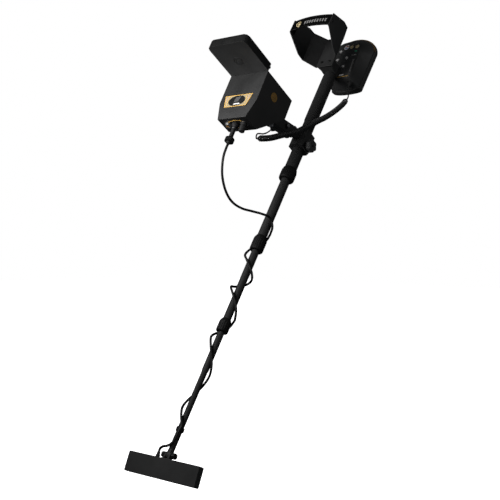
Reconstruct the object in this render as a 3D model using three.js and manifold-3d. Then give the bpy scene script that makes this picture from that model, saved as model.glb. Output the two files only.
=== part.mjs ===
// A metal detector on a telescoping pole: search head, display on a ball arm, cuff and control unit.
//
// Everything is built in the pole's frame: X is square to the pole on its upper side, Y is the
// user's left and Z runs up the pole from the hand grip's centre. The pole then leans by LEAN.
import * as THREE from "three";
import { ConvexGeometry } from "three/addons/geometries/ConvexGeometry.js";
import { mergeVertices } from "three/addons/utils/BufferGeometryUtils.js";
import Module from "manifold-3d";

const wasm = await Module();
wasm.setup();

// Driving dimensions, in millimetres and degrees.
const LEAN = 34;
const GAP = 0.3;
const POLE = { radius: 16.4, wall: 2, top: 140 };
const TUBE_2 = { radius: 12.35, wall: 1.6, top: -130 };
const TUBE_3 = { radius: 9.7, wall: 1.2, top: -375 };
const TUBE_4 = { radius: 8.2, wall: 1.0, top: -600, step: -811, stem: 7.1, bottom: -1004 };
const LOCKS = [
  { low: -258, high: -222, radius: 20.5, above: POLE.radius, below: TUBE_2.radius },
  { low: -479, high: -436, radius: 17.4, above: TUBE_2.radius, below: TUBE_3.radius },
  { low: -709, high: -674, radius: 15, above: TUBE_3.radius, below: TUBE_4.radius },
];
const GRIP = { low: -62, high: 98, radius: 17.5 };
const HEAD = { pin: -1018, tilt: 10.4, top: -9, width: 211, height: 45, thick: 16, face: 16 };
const GLAND = { x: 8, y: -25 };
const CASE = {
  hinge: [268, -137.7], pitch: 3.66, width: 115, nose: 85, length: 135.5, straight: 85,
  rear: 114.6, base: 57.1, front: 50.1, wall: 2.6,
};
const VISOR = { length: 106.7, depth: 22.2, wall: 2.4, axis: 11.4, side: 55 };
const ARM = { case: [130.5, -168], pole: [56, -143], ball: 12.7, radius: 15.4 };
const CUFF = { z: 161, wall: 2.4, base: [25.5, 38.1, 107], fold: [53.1, 70.4], waist: [92, 100], tip: [61.1, 149.4, 42] };
const UNIT = { tilt: 12.4, n: -66, z: 196, thick: 24, panel: -24 };
const CABLE = 3;
const COIL = 8;
const LEAD = 2;
const JOINT_GAP = 2.4;

const deg = THREE.MathUtils.degToRad;
const detector = new THREE.Group();
detector.rotation.y = -deg(LEAN);

// ---- Materials

const COLORS = {
  tube: [0x1d1e20, 0.5, 0.1], plastic: [0x17181a, 0.55, 0], shell: [0x222427, 0.5, 0],
  rubber: [0x111213, 0.8, 0], steel: [0xb9bcc0, 0.3, 1], gold: [0xc79a3c, 0.35, 1],
  cable: [0x0e0e0f, 0.6, 0], fabric: [0x101113, 0.9, 0], board: [0x1f5a36, 0.6, 0],
  copper: [0xb46a3a, 0.4, 1], glass: [0x10161b, 0.08, 0], screen: [0x20303a, 0.2, 0],
  panel: [0x1a1b1d, 0.45, 0], key: [0xd9dadb, 0.4, 0], label: [0xf0e2b0, 0.4, 0.2],
};

function material(name) {
  const [color, roughness, metalness] = COLORS[name];
  return new THREE.MeshStandardMaterial({ color, roughness, metalness });
}

// ---- Solids

/** One closed geometry with shared vertices and its faces pointing out. */
function closed(geometry) {
  geometry.deleteAttribute("normal");
  geometry.deleteAttribute("uv");
  const merged = mergeVertices(geometry, 1e-4);
  const p = merged.attributes.position;
  const index = Array.from(merged.index.array);
  const [a, b, c] = [new THREE.Vector3(), new THREE.Vector3(), new THREE.Vector3()];
  let volume = 0;
  const faces = [];
  for (let i = 0; i < index.length; i += 3) {
    const [u, v, w] = index.slice(i, i + 3);
    if (u === v || v === w || w === u) continue;
    a.fromBufferAttribute(p, u);
    b.fromBufferAttribute(p, v);
    c.fromBufferAttribute(p, w);
    volume += a.dot(b.cross(c));
    faces.push(u, v, w);
  }
  merged.setIndex(volume > 0 ? faces : faces.reverse());
  return merged;
}

function toManifold(geometry) {
  const ready = closed(geometry);
  return new wasm.Manifold(new wasm.Mesh({
    numProp: 3,
    vertProperties: new Float32Array(ready.attributes.position.array),
    triVerts: new Uint32Array(ready.index.array),
  }));
}

function fromManifold(manifold) {
  const mesh = manifold.getMesh();
  const geometry = new THREE.BufferGeometry();
  geometry.setAttribute("position", new THREE.BufferAttribute(mesh.vertProperties, 3));
  geometry.setIndex(new THREE.BufferAttribute(mesh.triVerts, 1));
  return geometry;
}

const join = (...parts) => fromManifold(parts.map(toManifold).reduce((a, b) => a.add(b)));
const common = (a, b) => fromManifold(toManifold(a).intersect(toManifold(b)));
const cut = (a, ...tools) =>
  fromManifold(tools.map(toManifold).reduce((body, tool) => body.subtract(tool), toManifold(a)));

const box = (x, y, z) =>
  new THREE.BoxGeometry(x[1] - x[0], y[1] - y[0], z[1] - z[0])
    .translate((x[0] + x[1]) / 2, (y[0] + y[1]) / 2, (z[0] + z[1]) / 2);

/** A solid of revolution about Z from [radius, z] points. */
function turned(points, segments = 18) {
  const profile = points.map(([r, z]) => new THREE.Vector2(r, z));
  return closed(new THREE.LatheGeometry(profile, segments)).rotateX(Math.PI / 2);
}

/** A ring about Z between two radii and two heights, with its outer edges chamfered. */
function ring(inner, outer, low, high, chamfer = 0, segments = 18) {
  const points = [[inner, low], [outer - chamfer, low]];
  if (chamfer) points.push([outer, low + chamfer], [outer, high - chamfer]);
  points.push([outer - chamfer, high], [inner, high], [inner, low]);
  return turned(points, segments);
}

function rod(radius, low, high, chamfer = 0, segments = 14) {
  const points = [[0, low], [radius - chamfer, low]];
  if (chamfer) points.push([radius, low + chamfer], [radius, high - chamfer]);
  points.push([radius - chamfer, high], [0, high]);
  return turned(points, segments);
}

/** The same solid with its Z axis laid along Y. */
const alongY = (geometry) => geometry.rotateX(-Math.PI / 2);

/** An outline of [x, y] points pushed along Z from low to high. */
function prism(points, low, high) {
  const shape = new THREE.Shape(points.map(([x, y]) => new THREE.Vector2(x, y)));
  const geometry = new THREE.ExtrudeGeometry(shape, { depth: high - low, bevelEnabled: false });
  return closed(geometry).translate(0, 0, low);
}

/** An outline of [x, z] points pushed along Y, from -half to +half or between two places. */
function slab(points, low, high) {
  return prism(points, -high, -low).rotateX(Math.PI / 2);
}

/** An outline of [y, z] points pushed along X from low to high. */
function panel(points, low, high) {
  return prism(points, low, high).rotateX(Math.PI / 2).rotateZ(Math.PI / 2);
}

/** The outline of a convex polygon with every side moved inwards. */
function inset(points, by) {
  const n = points.length;
  const area = points.reduce((sum, [x, y], i) => {
    const [u, v] = points[(i + 1) % n];
    return sum + x * v - u * y;
  }, 0);
  const turn = Math.sign(area);
  const sides = points.map(([x, y], i) => {
    const [u, v] = points[(i + 1) % n];
    const length = Math.hypot(u - x, v - y);
    const inward = [(-turn * (v - y)) / length, (turn * (u - x)) / length];
    return { x: x + inward[0] * by, y: y + inward[1] * by, dx: u - x, dy: v - y };
  });
  return sides.map((side, i) => {
    const last = sides[(i + n - 1) % n];
    const cross = last.dx * side.dy - last.dy * side.dx;
    const t = ((side.x - last.x) * side.dy - (side.y - last.y) * side.dx) / cross;
    return [last.x + last.dx * t, last.y + last.dy * t];
  });
}

function circle(radius, count, x = 0, y = 0) {
  return Array.from({ length: count }, (_, i) => {
    const a = (i / count) * 2 * Math.PI;
    return [x + radius * Math.cos(a), y + radius * Math.sin(a)];
  });
}

/** A grip knob's outline with rounded lobes. */
function lobes(radius, count, depth) {
  const steps = count * 4;
  return Array.from({ length: steps }, (_, i) => {
    const a = (i / steps) * 2 * Math.PI;
    const r = radius - depth * (0.5 - 0.5 * Math.cos(count * a));
    return [r * Math.cos(a), r * Math.sin(a)];
  });
}

/** A round tube along [x, y, z] points. */
function cord(points, radius, steps, sides = 8) {
  const curve = new THREE.CatmullRomCurve3(points.map((p) => new THREE.Vector3(...p)), false, "centripetal");
  const section = new THREE.Shape(circle(radius, sides).map(([x, y]) => new THREE.Vector2(x, y)));
  return closed(new THREE.ExtrudeGeometry(section, { steps, extrudePath: curve, bevelEnabled: false }));
}

function add(name, geometry, materialName, parent = detector) {
  const mesh = new THREE.Mesh(closed(geometry), material(materialName));
  mesh.name = name;
  parent.add(mesh);
  return mesh;
}

/** A group turned about Y at a point of the pole's frame. */
function tilted(x, z, degrees, y = 0) {
  const group = new THREE.Group();
  group.position.set(x, y, z);
  group.rotation.y = deg(degrees);
  detector.add(group);
  return group;
}

// ---- Pole

function tube(part, bottom) {
  return ring(part.radius - part.wall, part.radius, bottom, part.top);
}

const middle = (lock) => (lock.low + lock.high) / 2;

function addPole() {
  add("upper_tube", tube(POLE, middle(LOCKS[0])), "tube");
  add("grip_sleeve", ring(POLE.radius + GAP, GRIP.radius, GRIP.low, GRIP.high, 0.5), "rubber");
  const inner = POLE.radius - POLE.wall - GAP;
  const cap = [[0, POLE.top - 14], [inner, POLE.top - 14], [inner, POLE.top + GAP],
    [POLE.radius, POLE.top + GAP], [POLE.radius, POLE.top + 3], [POLE.radius - 2, POLE.top + 5],
    [0, POLE.top + 5]];
  add("pole_end_cap", turned(cap), "plastic");
  add("tube_2", tube(TUBE_2, middle(LOCKS[1])), "tube");
  add("tube_3", tube(TUBE_3, middle(LOCKS[2])), "tube");
  const { radius, wall, top, step, stem, bottom } = TUBE_4;
  const stepped = [[stem - wall, bottom], [stem, bottom], [stem, step - 3], [radius, step + 3],
    [radius, top], [radius - wall, top], [radius - wall, step + 3], [stem - wall, step - 3],
    [stem - wall, bottom]];
  add("tube_4", turned(stepped), "tube");
  add("stem_collar", ring(stem + GAP, 9.6, -962, -952, 0.8), "plastic");
}

/** A twist nut: it grips the tube below through a lip and screws onto the tube above. */
function lockNut({ low, high, radius, above, below }) {
  const mid = (low + high) / 2;
  const lip = below + 0.4;
  const bore = Math.min(below + 2.6, above);
  return turned([
    [lip, low], [radius - 3, low], [radius, low + 5], [radius, high - 11], [radius - 1.5, high - 5],
    [above + 1.6, high], [above + GAP, high], [above + GAP, mid - GAP], [bore, mid - 1], [bore, low + 5],
    [lip, low + 5], [lip, low],
  ], 20);
}

function addLocks() {
  LOCKS.forEach((lock, i) => add(`lock_nut_${i + 1}`, lockNut(lock), "plastic"));
}

// ---- Search head

const PIN = { radius: 3, tongue: 4.5, lug: 4, knobIn: 10.4, knobOut: 19 };

function rodEnd() {
  const { stem, wall, bottom } = TUBE_4;
  const plug = rod(stem - wall - GAP, bottom - 2, bottom + 26);
  const neck = rod(stem, bottom - 6, bottom - GAP);
  const eye = alongY(rod(7.5, -PIN.tongue, PIN.tongue)).translate(0, 0, HEAD.pin);
  const web = box([-6, 6], [-PIN.tongue, PIN.tongue], [HEAD.pin, bottom - 1]);
  const hole = alongY(rod(PIN.radius + GAP, -10, 10)).translate(0, 0, HEAD.pin);
  return cut(join(join(plug, neck), eye, web), hole);
}

const HEAD_SPLIT = HEAD.face - HEAD.thick * 0.4;

/** One lug of the clevis on the head's upper edge. */
function lug(side) {
  const near = PIN.tongue + GAP;
  const [low, high] = side > 0 ? [near, near + PIN.lug] : [-near - PIN.lug, -near];
  const eye = alongY(rod(7.5, low, high));
  const foot = [HEAD.face - HEAD.thick, HEAD_SPLIT - GAP].map((x) => [x, HEAD.top - 0.5]);
  return join(eye, slab([[-7.5, 0], [7.5, 0], foot[1], foot[0]], low, high));
}

function headShells() {
  const { top, width, height, thick, face } = HEAD;
  const back = face - thick;
  const outline = (by) => roundedRect(-width / 2 + by, width / 2 - by, top - height + by, top - by, 3 - by / 2);
  const block = (low, high, by) => panel(outline(by), low, high);
  const entry = rod(3.4, top - 6, top + 10).translate(GLAND.x, GLAND.y, 0);
  const foot = box([back, HEAD_SPLIT - GAP], [-13, 13], [top - 0.5, top + 1.3]);
  const tray = cut(block(back, HEAD_SPLIT - GAP, 0), block(back + 1.8, HEAD_SPLIT + 1, 1.8), entry);
  const bore = alongY(rod(PIN.radius + GAP, -20, 20));
  const tongueRoom = alongY(rod(9, -PIN.tongue - GAP, PIN.tongue + GAP));
  return {
    base: cut(join(tray, foot, lug(1), lug(-1)), bore, tongueRoom),
    cover: cut(block(HEAD_SPLIT, face, 0), block(HEAD_SPLIT - 1, face - 1.8, 1.8), entry),
  };
}

function roundedRect(x0, x1, y0, y1, r) {
  const corner = (cx, cy, from) => [0, 45, 90].map((d) => {
    const a = deg(from + d);
    return [cx + r * Math.cos(a), cy + r * Math.sin(a)];
  });
  return [...corner(x1 - r, y1 - r, 0), ...corner(x0 + r, y1 - r, 90),
    ...corner(x0 + r, y0 + r, 180), ...corner(x1 - r, y0 + r, 270)];
}

function handKnob(radius, count, low, high) {
  return prism(lobes(radius, count, radius * 0.14), low, high);
}

function addHead() {
  add("rod_end", rodEnd(), "plastic");
  const group = tilted(0, HEAD.pin, HEAD.tilt);
  const shells = headShells();
  add("head_base", shells.base, "shell", group);
  add("head_cover", shells.cover, "shell", group);
  const middle = HEAD.face - HEAD.thick * 0.55;
  const low = HEAD.top - HEAD.height + 5;
  const loop = (by, half) =>
    panel(roundedRect(-98 + by, 60 - by, low + by, low + 30 - by, 12 - by), middle - half, middle + half);
  add("head_coil", cut(loop(0, 2.5), loop(7, 4)), "copper", group);
  add("head_board", box([middle - 0.8, middle + 0.8], [66, 100], [low, low + 30]), "board", group);
  const gland = [[0, -5.5], [3.1, -5.5], [3.1, GAP], [5, GAP], [5, 4], [4.2, 5], [3.4, 12], [0, 12]];
  add("head_gland", turned(gland, 16).translate(GLAND.x, GLAND.y, HEAD.top), "rubber", group);
  add("hinge_bolt", alongY(rod(PIN.radius, -PIN.knobOut + 2, PIN.knobOut - 2, 0.4, 16)), "steel", group);
  for (const [name, side] of [["hinge_knob_left", 1], ["hinge_knob_right", -1]]) {
    const body = handKnob(7.2, 5, PIN.knobIn, PIN.knobOut);
    const hub = rod(4.6, PIN.knobIn - 1.2, PIN.knobIn + 1, 0, 16);
    const bore = rod(PIN.radius + GAP, PIN.knobIn - 3, PIN.knobOut - 1.6, 0, 16);
    const knob = alongY(cut(join(body, hub), bore));
    add(name, side > 0 ? knob : knob.rotateZ(Math.PI), "plastic", group);
  }
}

// ---- Display on its ball arm

/** The case's side outline in its own frame: the hinge edge is the origin, X up, Z to the rear. */
function caseOutline() {
  const { length, rear, base, front } = CASE;
  return [[0, 0], [0, -length], [-front, -length], [-rear, -base], [-rear, 0]];
}

function casePlan() {
  const { width, nose, length, straight } = CASE;
  const [w, n] = [width / 2, nose / 2];
  return [[w, 0], [w, -straight], [n, -length], [-n, -length], [-w, -straight], [-w, 0]];
}

const PORTS = { left: 24, right: -25, plug: -2, height: -24, radius: 8.5 };
const PLUG = { shaft: 5.6, length: 58 };
const LINK = { y: 30, along: 0.77 };

/** The case's block with every wall moved in, and its rear face at z = open. */
function caseBlock(by, open) {
  const reach = (points) => points.map(([x, z]) => [x, z > -CASE.wall - 1 ? open : z]);
  return common(slab(reach(inset(caseOutline(), by)), -80, 80), panel(reach(inset(casePlan(), by)), -160, 20));
}

/** An ear that holds the visor's pin behind the case's rear face. */
function hingeEar(y) {
  const [low, high] = y > 0 ? [y - 5, y] : [y, y + 5];
  const arm = slab([[-9, -3], [-0.5, -3], [1, 1], [3, VISOR.axis], [-3.4, VISOR.axis]], low, high);
  const eye = alongY(rod(3.4, low, high, 0, 16)).translate(0, 0, VISOR.axis);
  return join(arm, eye);
}

function displayCase() {
  const ears = [hingeEar(49), hingeEar(-49)];
  const pin = alongY(rod(1.9, -60, 60, 0, 12)).translate(0, 0, VISOR.axis);
  const hole = (y, r) => rod(r, -CASE.length - 5, -CASE.length + 8, 0, 20).translate(PORTS.height, y, 0);
  const ballHole = alongX(rod(4.2, -8, 8, 0, 16)).translate(-CASE.rear, 0, -CASE.base / 2);
  const link = linkSolid(rod(4.3, -8, 8, 0, 16));
  const hollow = caseBlock(CASE.wall, 5);
  const shell = join(cut(caseBlock(0, 0), hollow), ...ears.map((ear) => cut(ear, hollow)));
  return cut(shell, pin, ballHole, link, hole(PORTS.left, 7), hole(PORTS.right, 7), hole(PORTS.plug, 7.4));
}

/** The same solid with its Z axis laid along X. */
const alongX = (geometry) => geometry.rotateY(Math.PI / 2);

/** The connector's place on the slanting underside, in the case's frame, and the way out of it. */
function underside() {
  const { length, rear, base, front } = CASE;
  const [dx, dz] = [front - rear, length - base];
  const size = Math.hypot(dx, dz);
  const at = [-front + dx * LINK.along, -length + dz * LINK.along];
  return { at, out: [-dz / size, dx / size] };
}

/** Moves a solid made about Z onto the underside, with +Z pointing out of the case. */
function linkSolid(geometry) {
  const { at, out } = underside();
  return geometry.rotateY(Math.atan2(out[0], out[1])).translate(at[0], LINK.y, at[1]);
}

function socket() {
  const r = PORTS.radius;
  const face = -CASE.length - GAP;
  const body = [[0, face - 2], [4.5, face - 2], [4.5, face - 4.5], [r - 1.2, face - 4.5], [r, face - 3.5],
    [r, face], [6.6, face], [6.6, face + 10], [0, face + 10]];
  return turned(body, 24).translate(PORTS.height, PORTS.right, 0);
}

/** The rubber cap over the socket that isn't in use. */
function socketCap() {
  const face = -CASE.length - GAP;
  const body = [[0, face - 24], [6.4, face - 24], [7.6, face - 22.5], [7.6, face - 5], [8.5, face - 4],
    [8.5, face], [6.6, face], [6.6, face + 9], [0, face + 9]];
  return turned(body, 24).translate(PORTS.height, PORTS.left, 0);
}

function cablePlug() {
  const face = -CASE.length - GAP;
  const body = [[0, face + 9], [7, face + 9], [7, face], [9.6, face], [9.6, face - 5], [PLUG.shaft, face - 8],
    [PLUG.shaft, face - PLUG.length + 4], [3.9, face - PLUG.length], [0, face - PLUG.length]];
  return turned(body, 24).translate(PORTS.height, PORTS.plug, 0);
}

function plugNut() {
  const face = -CASE.length - GAP;
  const nut = prism(lobes(11.5, 10, 0.9), face - 52, face - 40.5);
  const bore = rod(PLUG.shaft + GAP, face - 60, face - 35, 0, 16);
  return cut(nut, bore).translate(PORTS.height, PORTS.plug, 0);
}

function visor() {
  const { length, depth, wall, axis, side } = VISOR;
  const half = CASE.width / 2;
  const plate = (points, low, high) => prism(points.map(([y, x]) => [x, y]), low, high);
  const outer = plate(roundedTop(-half, half, -1, length, 11), GAP, depth);
  const inner = plate(roundedTop(-half + wall, half - wall, -5, length - wall, 9), wall, depth + 1);
  const notches = [46.5, -46.5].map((y) => box([-3, 2], [y - 3, y + 3], [-1, 4]));
  const eyes = [side, -half].map((y) => alongY(rod(4.2, y, y + half - side, 0, 16)).translate(0, 0, axis));
  const pin = alongY(rod(2.0, -60, 60, 0, 12)).translate(0, 0, axis);
  return cut(join(cut(outer, inner, ...notches), ...eyes), pin);
}

function roundedTop(x0, x1, y0, y1, r) {
  const corner = (cx, from) => [0, 45, 90].map((d) => {
    const a = deg(from + d);
    return [cx + r * Math.cos(a), y1 - r + r * Math.sin(a)];
  });
  return [[x0, y0], [x1, y0], ...corner(x1 - r, 0), ...corner(x0 + r, 90)];
}

function ballPlate() {
  const [x, z] = [-CASE.rear, -CASE.base / 2];
  const toBall = CASE_BALL;
  const plate = alongX(rod(23, -4 - GAP, -GAP, 0.8, 18)).translate(x, 0, z);
  const boss = alongX(rod(3.9, -1, 6, 0, 16)).translate(x, 0, z);
  const neck = between([x - 4.6, z], toBall, 7.5);
  const ball = new THREE.SphereGeometry(ARM.ball, 14, 8).translate(toBall[0], 0, toBall[1]);
  return join(join(plate, boss), neck, ball);
}

/** A round bar in the X-Z plane from one [x, z] point to another. */
function between(from, to, radius) {
  const [dx, dz] = [to[0] - from[0], to[1] - from[1]];
  return rod(radius, 0, Math.hypot(dx, dz), 0, 16).rotateY(Math.atan2(dx, dz))
    .translate(from[0], 0, from[1]);
}

/** A point of the pole's frame in the case's own frame. */
function inCase([x, z]) {
  const a = deg(CASE.pitch);
  const [dx, dz] = [x - CASE.hinge[0], z - CASE.hinge[1]];
  return [dx * Math.cos(a) - dz * Math.sin(a), dx * Math.sin(a) + dz * Math.cos(a)];
}

const CASE_BALL = inCase(ARM.case);

function addDisplay() {
  const group = tilted(CASE.hinge[0], CASE.hinge[1], CASE.pitch);
  add("display_case", displayCase(), "shell", group);
  const inner = CASE.width / 2 - CASE.wall - GAP;
  const [low, high] = [-CASE.rear + CASE.wall + GAP, -CASE.wall - GAP];
  const frame = box([low, high], [-inner, inner], [-4, -0.6]);
  add("display_bezel", cut(frame, box([low + 13, high - 9], [-45, 45], [-9, 3])), "plastic", group);
  add("display_glass", box([low + 8, high - 6], [-48, 48], [-6, -4 - GAP]), "glass", group);
  add("display_screen", box([low + 8, high - 6], [-48, 48], [-12, -6 - GAP]), "screen", group);
  add("display_board", box([low + 5, high - 5], [-50, 50], [-18, -16.4]), "board", group);
  add("visor", visor(), "shell", group);
  add("visor_pin", alongY(rod(1.6, -57, 57, 0.3, 12)).translate(0, 0, VISOR.axis), "steel", group);
  const label = [[-45, -66], [39, -66], [30.5, -100.5], [-36.5, -100.5]];
  add("label_plate", panel(label, GAP, GAP + 0.7), "label", group);
  add("socket_cap", socketCap(), "rubber", group);
  add("socket_right", socket(), "gold", group);
  add("cable_plug", cablePlug(), "rubber", group);
  add("plug_nut", plugNut(), "plastic", group);
  const connector = turned([[0, -4], [4, -4], [4, GAP], [6.8, GAP], [6.8, 5], [5.4, 6], [5.4, 10],
    [3.2, 12], [0, 12]], 20);
  add("side_connector", linkSolid(connector), "steel", group);
  add("ball_plate", ballPlate(), "plastic", group);
}

/** One half of the double-socket arm, which closes on both balls. */
function armHalf(side) {
  const [from, to] = [ARM.case, ARM.pole];
  const y = side > 0 ? [0.4, ARM.radius] : [-ARM.radius, -0.4];
  const barrel = ([x, z]) => alongY(rod(ARM.radius, y[0], y[1], 1.5, 16)).translate(x, 0, z);
  const [dx, dz] = [to[0] - from[0], to[1] - from[1]];
  const length = Math.hypot(dx, dz);
  const [ux, uz] = [dx / length, dz / length];
  const at = (along, across) => [from[0] + ux * along - uz * across, from[1] + uz * along + ux * across];
  const bar = slab([at(6, 13), at(length - 6, 13), at(length - 6, -13), at(6, -13)], y[0], y[1]);
  const hollow = ([x, z]) => new THREE.SphereGeometry(ARM.ball + 0.8, 14, 8).translate(x, 0, z);
  const mouth = (along, way) => between(at(along, 0), at(along + way * 30, 0), 10.5);
  const centre = at(length / 2, 0);
  const bolt = alongY(rod(3.4, -20, 20, 0, 12)).translate(centre[0], 0, centre[1]);
  return cut(join(barrel(from), barrel(to), bar), hollow(from), hollow(to), mouth(0, -1),
    mouth(length, 1), neckRoom(from, 1, -18, 60), neckRoom(to, -1, -30, 32), bolt);
}

/** Room for a neck to tilt in one of the arm's sockets, on the socket's far side. */
function neckRoom([x, z], way, low, high) {
  return slab([[x - 6 * way, z], [x + 22 * way, z + low], [x + 22 * way, z + high]], -9, 9);
}

function armKnob() {
  const [x, z] = [(ARM.case[0] + ARM.pole[0]) / 2, (ARM.case[1] + ARM.pole[1]) / 2];
  const knob = prism(lobes(11, 3, 3.2), -32, -18);
  const shaft = rod(3, -20, ARM.radius + 5, 0, 12);
  const nut = rod(5.6, ARM.radius + GAP, ARM.radius + 5, 0, 6);
  return alongY(join(knob, shaft, nut)).translate(x, 0, z);
}

const CLAMP = { low: -158, high: -104, half: 22, jaw: 25, knob: -147 };

function clampHalf(front) {
  const { low, high, half, jaw, knob } = CLAMP;
  const reach = half + 1.5;
  const outline = front
    ? [[GAP, -half], [reach - 6, -half], [reach + 3, -10], [reach + 3, 10], [reach - 6, half], [GAP, half]]
    : [[-GAP, -half], [-jaw + 8, -half], [-jaw + 1, -12], [-jaw + 1, 12], [-jaw + 8, half], [-GAP, half]];
  const body = prism(outline, low, high);
  const bore = rod(POLE.radius + GAP, low - 1, high + 1, 0, 18);
  const screw = alongY(rod(4.3, 0, 40, 0, 16)).translate(0, 0, knob);
  if (!front) return cut(body, bore, screw);
  const neck = between([reach - 1, -135], ARM.pole, 7.5);
  const ball = new THREE.SphereGeometry(ARM.ball, 14, 8).translate(ARM.pole[0], 0, ARM.pole[1]);
  return cut(join(body, neck, ball), bore, screw);
}

function clampKnob() {
  const head = prism(lobes(17.5, 6, 2.6), 30, 43);
  const stem = rod(8, 24, 31, 0, 16);
  const stud = rod(4, POLE.radius + 0.6, 30, 0, 16);
  return alongY(join(join(head, stem), stud)).translate(0, 0, CLAMP.knob);
}

function addArm() {
  add("arm_left", armHalf(1), "plastic");
  add("arm_right", armHalf(-1), "plastic");
  add("arm_knob", armKnob(), "plastic");
  add("clamp_front", clampHalf(true), "plastic");
  add("clamp_rear", clampHalf(false), "plastic");
  add("clamp_knob", clampKnob(), "plastic");
}

// ---- Cuff and strap

/** The cuff's section: a folded sheet, as the inner [x, y] line and the outer one behind it. */
function cuffSection(wall) {
  const { base, fold, tip } = CUFF;
  const line = [tip, fold, base].map(([y, x]) => [x, -y]);
  const inner = [...line, ...line.slice().reverse().map(([x, y]) => [x, -y])];
  const out = (p, dx, dy) => [p[0] + dx, p[1] + dy];
  const outer = [out(inner[0], 0, -wall), out(inner[1], -wall * 0.35, -wall), out(inner[2], -wall, -wall * 0.45),
    out(inner[3], -wall, wall * 0.45), out(inner[4], -wall * 0.35, wall), out(inner[5], 0, wall)];
  return [...inner, ...outer.reverse()];
}

function cuff() {
  const { z, base, waist, tip, wall } = CUFF;
  const sheet = prism(cuffSection(wall), z - 60, z + 60);
  const edge = [[base[1] - 5, base[2] / 2], [base[1], base[2] / 2], [waist[0], waist[1] / 2],
    [tip[1] + 1, tip[2] / 2]];
  const side = [...edge.map(([x, half]) => [x, z - half]), ...edge.reverse().map(([x, half]) => [x, z + half])];
  return common(sheet, slab(side, -80, 80));
}

const BRACKET = { low: 110, high: 138, half: 19, rib: 4.5 };

function bracketHalf(upper) {
  const { low, high, half, rib } = BRACKET;
  const end = upper ? CUFF.base[1] - CUFF.wall - GAP : UNIT.panel + GAP;
  const from = upper ? GAP : -GAP;
  const body = upper
    ? prism([[from, -half], [20, -half], [end, -24], [end, 24], [20, half], [from, half]], low, high)
    : prism([[end, -rib], [from, -rib], [from, rib], [end, rib]], 121, high);
  return cut(body, rod(POLE.radius + GAP, low - 1, high + 1, 0, 18));
}

function strap() {
  const [y, x] = CUFF.tip;
  const [inside, outside] = [y - 3.8, y - 2];
  const arch = (lift, reach, steps) => Array.from({ length: steps + 1 }, (_, i) => {
    const t = -1 + (2 * i) / steps;
    return [x + lift + 6 * (1 - t * t), reach * t];
  });
  const top = arch(-0.6, outside, 12);
  const under = arch(-2.4, inside, 12).reverse();
  const section = [[x - 16, -outside], ...top, [x - 16, outside], [x - 16, inside], ...under, [x - 16, -inside]];
  return prism(section, CUFF.z - 19, CUFF.z + 19);
}

function addCuff() {
  add("cuff", cuff(), "shell");
  add("cuff_bracket", bracketHalf(true), "plastic");
  add("unit_bracket", bracketHalf(false), "plastic");
  add("strap", strap(), "fabric");
}

// ---- Control unit

/** The control unit's shield outline as [y, z] points, wide above and narrow below. */
function shield(by) {
  const side = (t) => 48 + 24 * t - by;
  const top = Array.from({ length: 9 }, (_, i) => {
    const a = deg(90 - 90 * Math.cos((i / 8) * Math.PI));
    return [side(1) * Math.cos(a), 46 + (54 - by) * Math.sin(a)];
  });
  const bottom = Array.from({ length: 7 }, (_, i) => {
    const a = deg(180 + 180 * (i / 6));
    return [side(0) * Math.cos(a), -66 + (10 - by * 0.9) * Math.sin(a)];
  });
  return [...top, ...bottom];
}

function unitShells() {
  const { thick } = UNIT;
  const rim = (low, high, by) => panel(shield(by), low, high);
  const edge = -4;
  const split = -12;
  const cover = join(rim(split, edge, 0), rim(edge - 0.01, -1.6, 1.6), rim(-1.7, 0, 4));
  const back = join(rim(-thick + 8, split - GAP, 0), rim(-thick + 3, -thick + 8.1, 3), rim(-thick, -thick + 3.1, 8));
  const window = box([-9, 1], [-30, 30], [-56, 30]);
  return {
    cover: cut(cover, rim(split - 1, -2.6, 5), window),
    back: cut(back, rim(-thick + 3, split + 1, 8.5)),
  };
}

const KEYS = [[-19, 227], [-19, 194.5], [9, 197.5], [9, 165]];
const BOOT = { x: -49, y: 36, z: 121.5 };

/** The keypad face's outline as [y, z] points. */
const FACE = [[-38, 119], [38, 119], [44, 122], [46, 130], [42, 238], [36, 253], [22, 262], [0, 265.5],
  [-22, 262], [-36, 253], [-42, 238], [-46, 130], [-44, 122]];

/** A tapering solid from the keypad's face to the unit's rim, with every side moved in. */
function keypadBlock(by, front, rear) {
  const face = inset(FACE, by).map(([y, z]) => new THREE.Vector3(front, y, z));
  const rim = shield(4 + by).map(([y, z]) => new THREE.Vector3(rear, y, z)
    .applyAxisAngle(new THREE.Vector3(0, 1, 0), deg(UNIT.tilt)).add(new THREE.Vector3(UNIT.n, 0, UNIT.z)));
  return new ConvexGeometry([...face, ...rim]);
}

function keypadCase() {
  const face = UNIT.panel;
  const wells = KEYS.map(([y, z]) => alongX(rod(5.4, -6, 6, 0, 16)).translate(face, y, z));
  const boot = rod(4.6, -4, 9, 0, 12).translate(BOOT.x, BOOT.y, BOOT.z);
  return cut(keypadBlock(0, face - 1.5, GAP), keypadBlock(2.4, face - 4, -3), ...wells, boot);
}

function keypadPanel() {
  const sheet = panel(inset(FACE, 2), UNIT.panel - 1.2, UNIT.panel - 0.4);
  const holes = KEYS.map(([y, z]) => alongX(rod(4.6, -4, 4, 0, 16)).translate(UNIT.panel, y, z));
  return cut(sheet, ...holes);
}

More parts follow.
